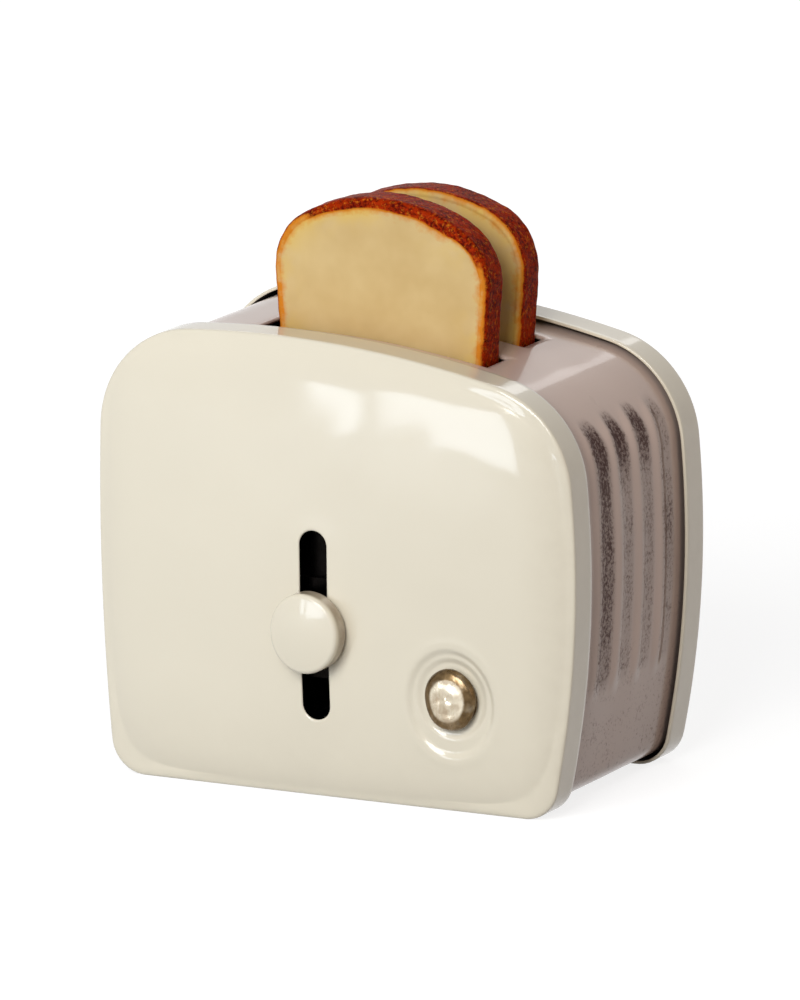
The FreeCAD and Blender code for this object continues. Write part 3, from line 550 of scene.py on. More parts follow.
def breadPaint(look):
    # crumb inside, a toasted orange line, then a speckled red-brown crust, led by crustShare
    material, tree, vector, shader = newMaterial("playBread")
    share = attributeNode(tree, "crustShare")
    warp = rangeNode(tree, noiseNode(tree, vector, *look["warpNoise"]), *look["warpRange"])
    edge = mathNode(tree, "ADD", share, warp)
    clouds = rangeNode(tree, noiseNode(tree, vector, *look["cloudNoise"]), 0.35, 0.65)
    crumb = mixColour(tree, clouds, look["crumb"], look["crumbPale"])
    yellow = rangeNode(tree, noiseNode(tree, vector, *look["yellowNoise"]), 0.4, 0.62)
    yellow = mathNode(tree, "MULTIPLY", rangeNode(tree, share, *look["yellowFrom"]), yellow)
    crumb = mixColour(tree, yellow, crumb, look["crumbYellow"])
    crumb = mixColour(tree, rareSpots(tree, vector, *look["pits"]), crumb, look["pit"])
    toasted = mixColour(tree, rangeNode(tree, edge, *look["toastedFrom"]), crumb, look["toasted"])
    specks = useGroup(tree, darkSpeckle, vector, look["speckle"])["mask"]
    crust = mixColour(tree, specks, look["crust"], look["crustDark"])
    spark = rangeNode(tree, noiseNode(tree, vector, *look["sparkNoise"]), 0.54, 0.70)
    crust = mixColour(tree, mathNode(tree, "MULTIPLY", spark, look["sparkAmount"]), crust, look["crustSpark"])
    colour = mixColour(tree, rangeNode(tree, edge, *look["crustFrom"]), toasted, crust)
    feed(shader, {"Base Color": colour, "Roughness": rangeNode(tree, edge, *look["roughness"]),
                  "Specular IOR Level": 0.015})
    rough = noiseNode(tree, vector, *look["bumpNoise"])
    height = mathNode(tree, "MULTIPLY", rough, rangeNode(tree, edge, *look["bumpRange"]))
    addBump(shader, height, *look["bump"])
    return material


cream = creamPaint(creamLook)
wrapEnamel = wrapPaint(wrapLook)
# near-black inside of the covers and wrap: a dark primer darkened into painted shade, so that the slots and
# gaps read black
insideShadePrimer = grainyPaint("insideShadeCoat", (900.0, 3.0), (0.005, 0.0045, 0.004), (0.012, 0.011, 0.010), (0.6, 0.85))
nickel = wornNickel(nickelLook)
steel = metalMaterial("plainSteel", (0.52, 0.51, 0.49), (0.22, 0.18, 0.14), 0.3)
tin = metalMaterial("plainTin", (0.60, 0.59, 0.56), (0.30, 0.26, 0.21), 0.35, 0.5)
# the mechanism seen through the slots: blackened tin darkened to near black, painted shade so that the slots
# read black
blackenedShade = metalMaterial("blackenedShadeTin", (0.006, 0.005, 0.0045), (0.003, 0.0025, 0.002), 0.6)
bread = breadPaint(breadLook)
plastic = grainyPaint("blackPlastic", (1500.0, 2.0), (0.008, 0.008, 0.008), (0.02, 0.02, 0.02), (0.45, 0.6))
print("materials made")


# Covers: a domed face with soft pillow edges, a tight rim and a flange over the wrap

coverForm = {
    "faceFront": 19.0,  # the face's apex, before the case's middle
    "halfDepth": 17.8,
    "reach": 5.4,  # flange, back from the case's end
    "sheet": 0.4,
    "rimInset": 1.2,  # how far in from the outline the rim starts to turn
    "rimTurn": 1.4,  # where the rim has turned into the flange, back from the case's end
    "rimBend": 0.64,  # share of the inset over which the rim still follows the face's slope
    "rimFullness": 0.75,
    "dome": 0.5,  # fall of the face from its middle, over half the width
    "pillow": 0.99,  # extra fall near the edges
    "pillowWidth": 6.3,
    "edgeFall": 0.42,  # a tighter fall just before the rim
    "edgeWidth": 1.7,
    "wave": 0.02,  # hand-pressed unevenness
    "hem": 0.12,  # roundness of the flange's end
    "poleRadius": 0.4,  # first ring of the rear cover's face
    "edgeShade": 0.13,  # painted shade, darker and yellower at the right edge
    "edgeShadeX": (24.0, 30.0),
    "coverFootShade": 0.05,  # and painted shade along the foot
    "coverFootShadeZ": (2.0, 15.0),
}
coverRows = {"lip": 4, "rim": 14, "flange": 8, "hem": 5}
coverMesh = {
    # columns, face rows outside and inside, and where columns and rows crowd: (place, width, density)
    "frontCoverPressing": (430, 105, 30, [(0.19, 0.075, 5.0)],
                           [(0.0, 0.02, 5.0), (0.55, 0.20, 2.2), (1.0, 0.06, 1.5)]),
    "rearCoverPressing": (300, 46, 16, [], [(1.0, 0.12, 1.5)]),
}
slotForm = {
    "x": -1.8,
    "middle": 21.1,
    "length": 22.8,
    "width": 3.6,
    "lipRadius": 0.28,
    "swell": 0.10,  # the sheet stands a little proud round the slot
    "swellWidth": 1.5,
}
dishForm = {
    "x": 15.9,
    "z": 13.9,
    "outerRadius": 6.2,
    "outerDrop": 0.55,  # the hand-pressed outer ring hangs a little lower than the button
    "outerTall": 1.10,
    "outerWide": 0.94,
    "innerRadius": 4.9,
    "innerTall": 1.05,
    "innerWide": 0.96,
    "slopeWidth": 0.95,
    "outerDepth": 0.40,
    "innerDepth": 0.33,
    "rimSwell": 0.05,
    "rimSwellWidth": 0.5,
}


def dishStep(x, z, radius, wide, tall, depth):
    # one soft step down into an oval, and the oval's own radius at each point
    reach = np.hypot(x / wide, z / tall)
    return depth * (1 - smoothStep(reach, radius - dishForm["slopeWidth"], radius)), reach


def facePlace(x, z, withDish):
    # How far before the case's middle the face lies: an even dome, less two exponential falls
    # towards the edges, less slow waves, less the dish's two soft steps, plus the swell round
    # the slot.
    form, dish = coverForm, dishForm
    inside = edgeDistance(x, z)
    half = caseForm["width"] / 2
    place = form["faceFront"] - form["dome"] * (x ** 2 + (z - caseForm["height"] / 2) ** 2) / half ** 2
    beforeRim = np.maximum(inside - form["rimInset"], 0)
    place -= form["pillow"] * np.exp(-beforeRim / form["pillowWidth"])
    place -= form["edgeFall"] * np.exp(-beforeRim / form["edgeWidth"])
    wave = (np.sin(x * 0.31 + 1.3) * np.cos(z * 0.27 + 0.4) + 0.6 * np.sin(x * 0.55 - z * 0.43)
            + 0.4 * np.cos(x * 0.21 + z * 0.71 + 2.0))
    place += form["wave"] * wave * smoothStep(inside, 0.0, 8.0)
    if withDish:
        besideX, besideZ = x - dish["x"], z - dish["z"]
        outer, reach = dishStep(besideX, besideZ + dish["outerDrop"], dish["outerRadius"], dish["outerWide"],
                                dish["outerTall"], dish["outerDepth"])
        inner, _ = dishStep(besideX, besideZ, dish["innerRadius"], dish["innerWide"], dish["innerTall"],
                            dish["innerDepth"])
        place -= outer + inner
        width = dish["rimSwellWidth"]
        place += dish["rimSwell"] * np.exp(-((reach - dish["outerRadius"] - width) / width) ** 2)
        place += slotForm["swell"] * np.exp(-(slotDistance(x, z) / slotForm["swellWidth"]) ** 2)
    return place


def slotDistance(x, z):
    # distance to the outside of the upright slot with round ends
    half = (slotForm["length"] - slotForm["width"]) / 2
    tall = np.abs(z - slotForm["middle"]) - half
    return np.hypot(x - slotForm["x"], np.maximum(tall, 0)) - slotForm["width"] / 2


def slotLoop(share, grown):
    # The slot's outline by share of its length, anti-clockwise from the bottom, grown outwards.
    radius = slotForm["width"] / 2
    half = (slotForm["length"] - slotForm["width"]) / 2
    quarter = np.pi / 2 * radius
    total = 4 * quarter + 4 * half
    run = share * total
    corners = np.cumsum([0, quarter, 2 * half, 2 * quarter, 2 * half, quarter])
    heading = np.interp(run, corners, [-np.pi / 2, 0, 0, np.pi, np.pi, 1.5 * np.pi])
    lift = np.interp(run, corners, [-half, -half, half, half, -half, -half])
    x = slotForm["x"] + (radius + grown) * np.cos(heading)
    z = slotForm["middle"] + lift + (radius + grown) * np.sin(heading)
    return np.stack([x, z], -1)


def anchoredLengths(share, anchors):
    # outline running lengths whose quarters lie at four anchor lengths
    total = outline["run"][-1]
    stops = np.concatenate([anchors, [anchors[0] + total]])
    return np.interp(share, [0, 0.25, 0.5, 0.75, 1.0], stops)


def outlineAnchors(x, z):
    # running lengths of the outline's points below, right of, above and left of (x, z)
    points, run = outline["points"], outline["run"]
    offX, offZ = np.abs(points[:, 0] - x), np.abs(points[:, 1] - z)
    upper = points[:, 1] > z
    choices = [(offX, upper), (offZ, points[:, 0] < 0), (offX, ~upper), (offZ, points[:, 0] > 0)]
    below, right, above, left = [run[np.argmin(off + 1000 * excluded)] for off, excluded in choices]
    return np.array([below - run[-1] if below > right else below, right, above, left])


def rowAt(flat, place, side):
    # one row of points at a place before (side -1) or behind (side 1) the case's middle
    y = np.broadcast_to(side * place + middleY, len(flat))
    return np.stack([flat[:, 0], y, flat[:, 1]], -1)


def rimRows(lengths, form, side, faceRise, inner):
    # Rows from the face's edge over the rim and along the flange to its end: a cubic curve
    # that leaves the face along its slope and meets the flange square, then a straight run.
    # inner gives the sheet's inside.
    sheet = form["sheet"] if inner else 0.0
    rimInset, bend, probeStep = form["rimInset"], form["rimBend"], 0.2
    start, normal = alongOutline(lengths, rimInset)
    here = faceRise(start[:, 0], start[:, 1])
    probe = start - normal * probeStep
    slope = (faceRise(probe[:, 0], probe[:, 1]) - here) / probeStep
    flangeStart = form["halfDepth"] - form["rimTurn"]
    flangeEnd = form["halfDepth"] - form["reach"] + form["hem"]
    share = np.linspace(0, 1, coverRows["rim"])[:, None]
    weights = [(1 - share) ** 3, 3 * share * (1 - share) ** 2, 3 * share ** 2 * (1 - share), share ** 3]
    insets = [rimInset, rimInset * (1 - bend), sheet, sheet]
    places = [here - sheet, here - sheet - slope * rimInset * bend,
              flangeStart + form["rimFullness"] * (here - flangeStart) - sheet, flangeStart + 0 * here]
    inset = sum(weight * value for weight, value in zip(weights, insets))
    place = sum(weight * value for weight, value in zip(weights, places))
    runs = np.linspace(flangeStart, flangeEnd, coverRows["flange"] + 1)[1:, None]
    inset = np.vstack([inset * np.ones_like(place), np.full((len(runs), len(here)), sheet)])
    place = np.vstack([place, runs * np.ones(len(here))])
    return [rowAt(alongOutline(lengths, rowInset)[0], rowPlace, side)
            for rowInset, rowPlace in zip(inset, place)]


def hemRows(lengths, form, side):
    # the flange's rounded end, half round about the sheet's middle
    rows = []
    flangeEnd = form["halfDepth"] - form["reach"] + form["hem"]
    half = form["sheet"] / 2
    for angle in np.linspace(0, np.pi, coverRows["hem"] + 2)[1:-1]:
        point, _ = alongOutline(lengths, half - half * np.cos(angle))
        rows.append(rowAt(point, flangeEnd - form["hem"] * np.sin(angle), side))
    return rows


def makeCover(name, node, side, form):
    # side is -1 for the front cover, which has the slot and the dish, and 1 for the rear cover
    columns, outerRows, innerRows, crowdRound, crowdAcross = coverMesh[name]
    withSlot = side < 0
    share = spread(columns, crowdRound, closed=True)
    if withSlot:
        anchors = outlineAnchors(slotForm["x"], slotForm["middle"])
        start = slotLoop(share, slotForm["lipRadius"])
    else:
        centre = np.array([0.0, caseForm["height"] / 2])
        anchors = outlineAnchors(*centre)
        turn = 2 * np.pi * share - np.pi / 2
        start = centre + form["poleRadius"] * np.stack([np.cos(turn), np.sin(turn)], -1)
    lengths = anchoredLengths(share, anchors)
    end, _ = alongOutline(lengths, form["rimInset"])

    def faceRise(x, z):
        return facePlace(x, z, withSlot)

    def faceRow(weight, depth):
        flat = start * (1 - weight) + end * weight
        return rowAt(flat, faceRise(flat[:, 0], flat[:, 1]) - depth, side)

    rows = []
    if withSlot:
        # the slot's edge turns in by a quarter round
        half = form["sheet"] / 2
        base = faceRise(start[:, 0], start[:, 1])
        for angle in np.linspace(0, np.pi / 2, coverRows["lip"] + 1)[:-1]:
            loop = slotLoop(share, slotForm["lipRadius"] * (1 - np.cos(angle)))
            rows.append(rowAt(loop, base - (half - half * np.sin(angle)), side))
    rows += [faceRow(weight, 0.0) for weight in spread(outerRows, crowdAcross)[:-1]]
    rows += rimRows(lengths, form, side, faceRise, False)
    innerStart = len(rows) + coverRows["hem"] - 1
    rows += hemRows(lengths, form, side)
    rows += rimRows(lengths, form, side, faceRise, True)[::-1]
    rows += [faceRow(weight, form["sheet"]) for weight in np.linspace(0, 1, innerRows)[::-1][1:]]
    points = np.stack(rows)
    faces = gridFaces(len(rows), columns, closedRows=withSlot, closedColumns=True)[:, ::side]
    inside = np.zeros((len(rows) if withSlot else len(rows) - 1, columns), np.int32)
    inside[innerStart:] = 1
    fans = []
    if not withSlot:
        ring = np.arange(columns)
        depths = faceRise(*centre) - np.array([0.0, form["sheet"]])
        outerPole, innerPole = rowAt(np.array([centre, centre]), depths, side)
        fans = [(outerPole, ring[::-1]), (innerPole, (len(rows) - 1) * columns + ring)]
    # painted shade at the right edge and along the foot
    creamShade = form["edgeShade"] * smoothStep(points[..., 0], *form["edgeShadeX"])
    creamShade = creamShade + form["coverFootShade"] * (1 - smoothStep(points[..., 2], *form["coverFootShadeZ"]))
    addMesh(name, points, faces, [cream, insideShadePrimer], "case", (node,),
            {"creamShade": creamShade.reshape(-1)}, faceMaterial=inside.reshape(-1), fans=fans)


makeCover("frontCoverPressing", "front_cover", -1, coverForm)
makeCover("rearCoverPressing", "rear_cover", 1, coverForm)
print("covers made")


# Wrap: the sleeve between the covers, with ribs down both sides and two bread slots

wrapForm = {
    "columns": 340,
    "rows": 117,
    "gap": 0.55,
    "sheet": 0.4,
    "endPlay": 0.2,
    "rimRadius": 2.1,
    "lipInset": 0.78,
    "lipWidth": 0.9,
    "ribCount": 4,
    "ribPitch": 5.4,
    "ribWidth": 3.4,
    "ribHeight": 0.34,
    "ribLength": 35.0,
    "ribTaper": 4.0,
    "ribShift": -0.7,  # the pressed ribs sit a little forward
    "slotLeft": -14.2,
    "slotRight": {"front": 16.1, "rear": 15.2},
    "slotWidth": 5.3,
    "slotSpacing": 11.1,
    "slotDip": 0.16,  # the sheet turns down a little at the slots' edges
    "slotDipWidth": 0.35,
    "floorLip": 7.0,
    "wave": 0.03,
    # painted shade behind the ribs, in dark bands: half width, middle, strength, more above, more half way up
    "ribBands": [(2.45, 1.95, 0.74, 0.20, 0.10), (2.20, 1.90, 0.50, 0.46, 0.02),
                 (2.20, 1.85, 0.48, 0.42, 0.08), (2.15, 1.60, 0.42, 0.08, 0.22)],
    "bandPoint": 1.1,  # how far forward a band's pointed upper end lies
    # painted shade, darker towards the foot of both sides
    "footShade": 0.40,
}


def mergeStops(coarse, stops, reach):
    # an even run of numbers with some exact stops put in, and near neighbours dropped
    kept = [value for value in coarse if np.min(np.abs(np.array(stops) - value)) > reach]
    return np.array(sorted(kept + list(stops)))


def makeWrap(form):
    inset = coverForm["sheet"] + form["gap"]
    halfDepth = coverForm["halfDepth"] - form["rimRadius"] - form["endPlay"]
    total = outline["run"][-1]
    upper = outline["points"][:, 1] > caseForm["height"] / 2
    slotEnds = [form["slotLeft"], *form["slotRight"].values()]
    floorEnds = [outline["floor"][0] + form["floorLip"], outline["floor"][1] - form["floorLip"]]

    def lengthAtX(x, onTop):
        wanted = upper if onTop else outline["points"][:, 1] < 1e-6
        return outline["run"][np.argmin(np.abs(outline["points"][:, 0] - x) + 1000 * ~wanted)]

    stops = [lengthAtX(x, True) for x in slotEnds] + [lengthAtX(x, False) for x in floorEnds]
    lengths = mergeStops(np.linspace(0, total, form["columns"] + 1)[:-1], stops, 0.25)
    columns = len(lengths)
    slotEdges = [sign * form["slotSpacing"] / 2 + end * form["slotWidth"] / 2
                 for sign in (-1, 1) for end in (-1, 1)]
    places = mergeStops(np.linspace(-halfDepth, halfDepth, form["rows"]), slotEdges, 0.12)

    base, normal = alongOutline(lengths, inset)
    u, y = np.meshgrid(np.arange(columns), places)
    x, z = base[u, 0], base[u, 1]
    outward = normal[u]
    # ribs: half-cosine humps side by side, faded out at both ends along the side
    upright = z - caseForm["widestHeight"]
    fade = 1 - smoothStep(np.abs(upright), form["ribLength"] / 2 - form["ribTaper"], form["ribLength"] / 2)
    onSide = smoothStep(np.abs(outward[..., 0]), 0.75, 0.9)
    ribPhase = (y - form["ribShift"]) / form["ribPitch"] + (form["ribCount"] - 1) / 2
    nearest = np.clip(np.round(ribPhase), 0, form["ribCount"] - 1)
    across = (ribPhase - nearest) * form["ribPitch"]
    wavelike = 0.5 + 0.5 * np.cos(2 * np.pi * across / form["ribWidth"])
    hump = np.where(np.abs(across) < form["ribWidth"] / 2, wavelike, 0)
    rise = form["ribHeight"] * hump * fade * onSide
    wave = np.sin(x * 0.35 + y * 0.21) * np.cos(z * 0.24 - y * 0.33 + 1.0)
    rise = rise + form["wave"] * wave * smoothStep(halfDepth - np.abs(y), 0, 3)
    # the sheet dips at the bread slots' edges
    slotRight = np.where(y < 0, form["slotRight"]["front"], form["slotRight"]["rear"])
    slotReach = np.maximum(np.maximum(form["slotLeft"] - x, x - slotRight),
                           np.abs(np.abs(y) - form["slotSpacing"] / 2) - form["slotWidth"] / 2)
    onTop = z > caseForm["height"] / 2
    rise = rise - form["slotDip"] * np.exp(-(np.maximum(slotReach, 0) / form["slotDipWidth"]) ** 2) * onTop
    # both ends turn out to a lip that seats inside the covers' flanges
    lip = smoothStep(np.abs(y), halfDepth - form["lipWidth"], halfDepth)
    rise = rise + (inset - form["lipInset"]) * lip
    points = np.stack([x + outward[..., 0] * rise, y + middleY, z + outward[..., 1] * rise], -1)

    middleX = (x + np.roll(x, -1, 1)) / 2
    middleRow = (y[:-1] + y[1:]) / 2
    cellTop = (onTop & np.roll(onTop, -1, 1))[:-1]
    inSlot = (middleX[:-1] > form["slotLeft"]) & (middleX[:-1] < slotRight[:-1]) & cellTop
    inSlot &= np.abs(np.abs(middleRow) - form["slotSpacing"] / 2) < form["slotWidth"] / 2
    onFloor = (z[:-1] < inset + 0.05) & (np.roll(z, -1, 1)[:-1] < inset + 0.05)
    inFloor = onFloor & (middleX[:-1] > floorEnds[0]) & (middleX[:-1] < floorEnds[1])
    keep = ~(inSlot | inFloor)
    faces = gridFaces(len(places), columns, closedColumns=True, keep=keep)[:, ::-1]
    # Painted shade with dark grain behind each rib: a band that starts in a point above and is darkest there,
    # and ends blunt below.
    along = (z - caseForm["widestHeight"]) / form["ribLength"] + 0.5
    pointed = 1 - smoothStep(along, 0.86, 1.05)
    blunt = smoothStep(along, -0.02, 0.10) * (1 - smoothStep(along, 0.99, 1.03))
    above, midway = smoothStep(along, 0.68, 0.88), np.exp(-((along - 0.5) / 0.22) ** 2)
    ribShade = np.zeros_like(z)
    for rib, (half, centre, plain, topDark, midDark) in enumerate(form["ribBands"]):
        behind = (ribPhase - rib) * form["ribPitch"] - centre + form["bandPoint"] * (1 - pointed)
        half = half * (0.35 + 0.65 * pointed)
        band = 1 - smoothStep(np.abs(behind), half * 0.5, half * 1.2)
        ribShade = np.maximum(ribShade, band * blunt * (plain + topDark * above + midDark * midway))
    # painted shade, darker towards the foot and lighter on the ribs' crests
    foot = form["footShade"] * (1 - smoothStep(z, -6.0, 50.0)) * (1 - 0.8 * hump * fade)
    ribShade = np.maximum(ribShade, foot) * onSide
    piece = addMesh("wrapSleeve", points, faces, [wrapEnamel, insideShadePrimer], "case", ("body_wrap",),
                    {"ribShade": ribShade.reshape(-1)})
    wall = piece.modifiers.new("sheet", "SOLIDIFY")
    wall.thickness = form["sheet"] * mm
    wall.offset = -1.0
    wall.use_even_offset = True
    wall.material_offset = 1
    wall.material_offset_rim = 0


makeWrap(wrapForm)
print("wrap made")


# Turned pieces: a profile of reach and place, carried once round an axis along Y

def discSpan(node):
    # axis, radius, front and back of a round node
    low, high = nodeSpan(node)
    return (low[0] + high[0]) / 2, (low[2] + high[2]) / 2, (high[0] - low[0]) / 2, low[1], high[1]


def ovalShare(form, turn):
    # how much a piece is wider or taller than round, by heading
    return (form["wide"] - 1) * np.cos(turn) ** 2 + (form["tall"] - 1) * np.sin(turn) ** 2


def makeTurned(name, profile, x, z, columns, material, body, replaced, attribute, shades,
               reachChange, placeChange=None):
    # profile and shades rows run from the front pole to the back pole, and shades leave the poles out
    profile = np.asarray(profile)
    turn = np.linspace(0, 2 * np.pi, columns, endpoint=False)
    reach = profile[1:-1, 0][:, None] * np.ones(columns)
    place = profile[1:-1, 1][:, None] * np.ones(columns)
    reach = reach + reachChange(reach, place, turn)
    if placeChange is not None:
        place = place + placeChange(reach, turn)
    points = np.stack([x + reach * np.cos(turn), place, z + reach * np.sin(turn)], -1)
    rows = len(points)
    faces = gridFaces(rows, columns, closedColumns=True)[:, ::-1]
    ring = np.arange(columns)
    fans = [((x, place[0].mean(), z), ring), ((x, profile[-1, 1], z), ((rows - 1) * columns + ring)[::-1])]
    addMesh(name, points, faces, [material], body, replaced,
            {attribute: np.repeat(shades, columns)}, fans=fans)


def roundedCorner(centreReach, centrePlace, radius, start, stop, count):
    # quarter round from one heading to another, headings in degrees from the reach axis to the front
    angle = np.radians(np.linspace(start, stop, count))
    return [(centreReach + radius * np.cos(a), centrePlace - radius * np.sin(a)) for a in angle]


knobForm = {
    "columns": 120,
    "frontRound": 0.62,
    "backRound": 0.35,
    "crown": 0.38,  # rise of the middle of the disc
    "waist": 0.03,
    "hubReach": 1.0,  # width of the flat back, in from the edge
    "boreRadius": 1.03,
    "wide": 0.945,
    "tall": 1.02,
    "lift": 0.15,
    "creamShade": 1.0,  # painted shade, browning the side wall
    "creamShadeDepth": (0.35, 1.1),  # behind the crown
}


def makeKnob(form):
    x, z, radius, front, back = discSpan("lever_knob")
    frontRound, backRound, crown = form["frontRound"], form["backRound"], form["crown"]
    flat = radius - frontRound
    face = [(reach, front + crown * (reach / flat) ** 2) for reach in np.linspace(0, flat, 14)]
    corner = roundedCorner(flat, front + crown + frontRound, frontRound, 78, 0, 10)
    side = [(radius - form["waist"] * np.sin(share * np.pi), place)
            for share, place in zip(np.linspace(0, 1, 6), np.linspace(front + 1.3, back - 0.5, 6))]
    rear = roundedCorner(radius - backRound, back - backRound, backRound, 0, -90, 6)
    hub = [(reach, back) for reach in np.linspace(radius - form["hubReach"], form["boreRadius"], 4)]
    profile = face + corner + side + rear + hub + [(0, back)]

    def handRound(reach, place, turn):
        return reach * (ovalShare(form, turn) + 0.004 * np.sin(3 * turn + 1.1))

    depth = np.array(profile)[1:-1, 1] - front
    # painted shade on the side wall behind the crown
    creamShade = form["creamShade"] * smoothStep(depth, *(crown + start for start in form["creamShadeDepth"]))
    makeTurned("leverKnobTurned", profile, x, z + form["lift"], form["columns"], cream, "lever",
               ("lever_knob",), "creamShade", creamShade, handRound)


buttonForm = {
    "columns": 96,
    "seatDepth": 0.3,  # the dish's floor, in front of the button's seat
    "skirt": 0.35,
    "stops": (0.0, 0.64, 0.72, 0.90, 0.97, 1.0),  # shares of the reach
    "falls": (0.0, 0.10, 0.15, 0.38, 0.62, 1.0),  # and of the height there
    "shankRadius": 1.2,
    "sunk": 0.6,  # worn back from the full height
    "beaten": 0.05,  # unevenness of the worn top
    "beatenReach": 0.62,  # share of the radius
    "rimShade": (0.58, 0.73),  # shares of the radius between which the rim darkens
    "wide": 0.89,
    "tall": 1.0,
}


def makeButton(form):
    # A worn, nearly flat top, a sloping dark rim and a steep edge.
    x, z, radius, front, back = discSpan("dial_button")
    front += form["sunk"]
    dishFloor = facePlace(dishForm["x"], dishForm["z"], True)
    seat = -(dishFloor + form["seatDepth"]) + middleY
    rise = seat - form["skirt"] - front
    share = np.concatenate([np.linspace(0, 0.9, 26), np.linspace(0.91, 1.0, 10)])
    fall = smoothCurve(share, form["stops"], form["falls"])
    cap = [(radius * s, front + rise * f) for s, f in zip(share, fall)]
    skirt = [(radius - 0.03, seat - 0.15), (radius - 0.12, seat - 0.03), (radius - 0.35, seat)]
    shankRadius = form["shankRadius"]
    shank = [(shankRadius + 0.4, seat), (shankRadius, seat + 0.1), (shankRadius, back - 0.1),
             (shankRadius - 0.1, back), (0, back)]
    profile = np.array(cap + skirt + shank)

    def beatenTop(reach, turn):
        away = np.exp(-(reach / (form["beatenReach"] * radius)) ** 6)
        return form["beaten"] * away * (np.sin(2.1 * turn + 2.2 * reach) * 0.6 + np.cos(3.3 * reach - turn))

    def handRound(reach, place, turn):
        uneven = 0.012 * np.sin(3 * turn + 0.6) + 0.008 * np.sin(5 * turn)
        return reach * (ovalShare(form, turn) + uneven) * (place < seat)

    reaches, places = profile[1:-1].T
    shades = smoothStep(reaches, *(radius * edge for edge in form["rimShade"]))
    shades[places > seat - 0.01] = 1.0
    makeTurned("dialButtonTurned", profile, x, z, form["columns"], nickel, "dial",
               ("dial_button",), "rimShade", shades, handRound, beatenTop)


makeKnob(knobForm)
makeButton(buttonForm)
print("knob and button made")


# Bread slices: loaf outline, soft edges and a bumpy crust

sliceForm = {
    "width": 27.6,
    "footWidth": 24.4,
    "crownRadius": 21.0,
    "shoulderRadius": 7.8,
    "footRadius": 1.2,
    "centre": 0.48,  # share of the height
    "edgeRound": 0.95,
    "edgeDepth": 0.9,  # share of the round that the edge goes back
    "crustBump": 0.07,
    "faceBulge": 0.10,
    "crustBand": 0.75,
    "crustCurve": (3.0, 1.2),  # how late the crust starts on the rounded edge, at the sides and above
}


def arcLine(centre, radius, start, stop, count):
    turn = np.linspace(start, stop, count)
    return np.array(centre) + radius * np.stack([np.cos(turn), np.sin(turn)], 1)


def sliceOutline(form, foot, middle):
    # half of the loaf's edge from the foot's middle round to the crown, then mirrored
    shoulder, crown, base = form["shoulderRadius"], form["crownRadius"], form["footRadius"]
    footReach = form["footWidth"] / 2
    crownZ = form["height"] - crown
    shoulderX = form["width"] / 2 - shoulder
    shoulderZ = crownZ + np.sqrt((crown - shoulder) ** 2 - shoulderX ** 2)
    span = np.hypot(shoulderX - footReach, shoulderZ)
    lean = np.arctan2(shoulderZ, shoulderX - footReach) - np.arcsin(shoulder / span)
    touch = np.sqrt(span ** 2 - shoulder ** 2)
    cornerX = footReach - base / np.tan((np.pi - lean) / 2)
    crownTurn = np.arctan2(shoulderZ - crownZ, shoulderX)
    corner = arcLine((cornerX, base), base, -np.pi / 2, lean - np.pi / 2, 30)
    halfEdge = np.vstack([
        np.stack([np.linspace(0, cornerX, 60), np.zeros(60)], 1),
        corner,
        np.linspace(corner[-1], [footReach + touch * np.cos(lean), touch * np.sin(lean)], 200)[1:],
        arcLine((shoulderX, shoulderZ), shoulder, lean - np.pi / 2, crownTurn, 160)[1:],
        arcLine((0, crownZ), crown, crownTurn, np.pi / 2, 200)[1:],
    ])
    edge = np.vstack([halfEdge, halfEdge[-2:0:-1] * [-1, 1]])
    edge[:, 1] += form["lean"] * edge[:, 0] * edge[:, 1] / form["height"]
    return edge + [middle, foot]


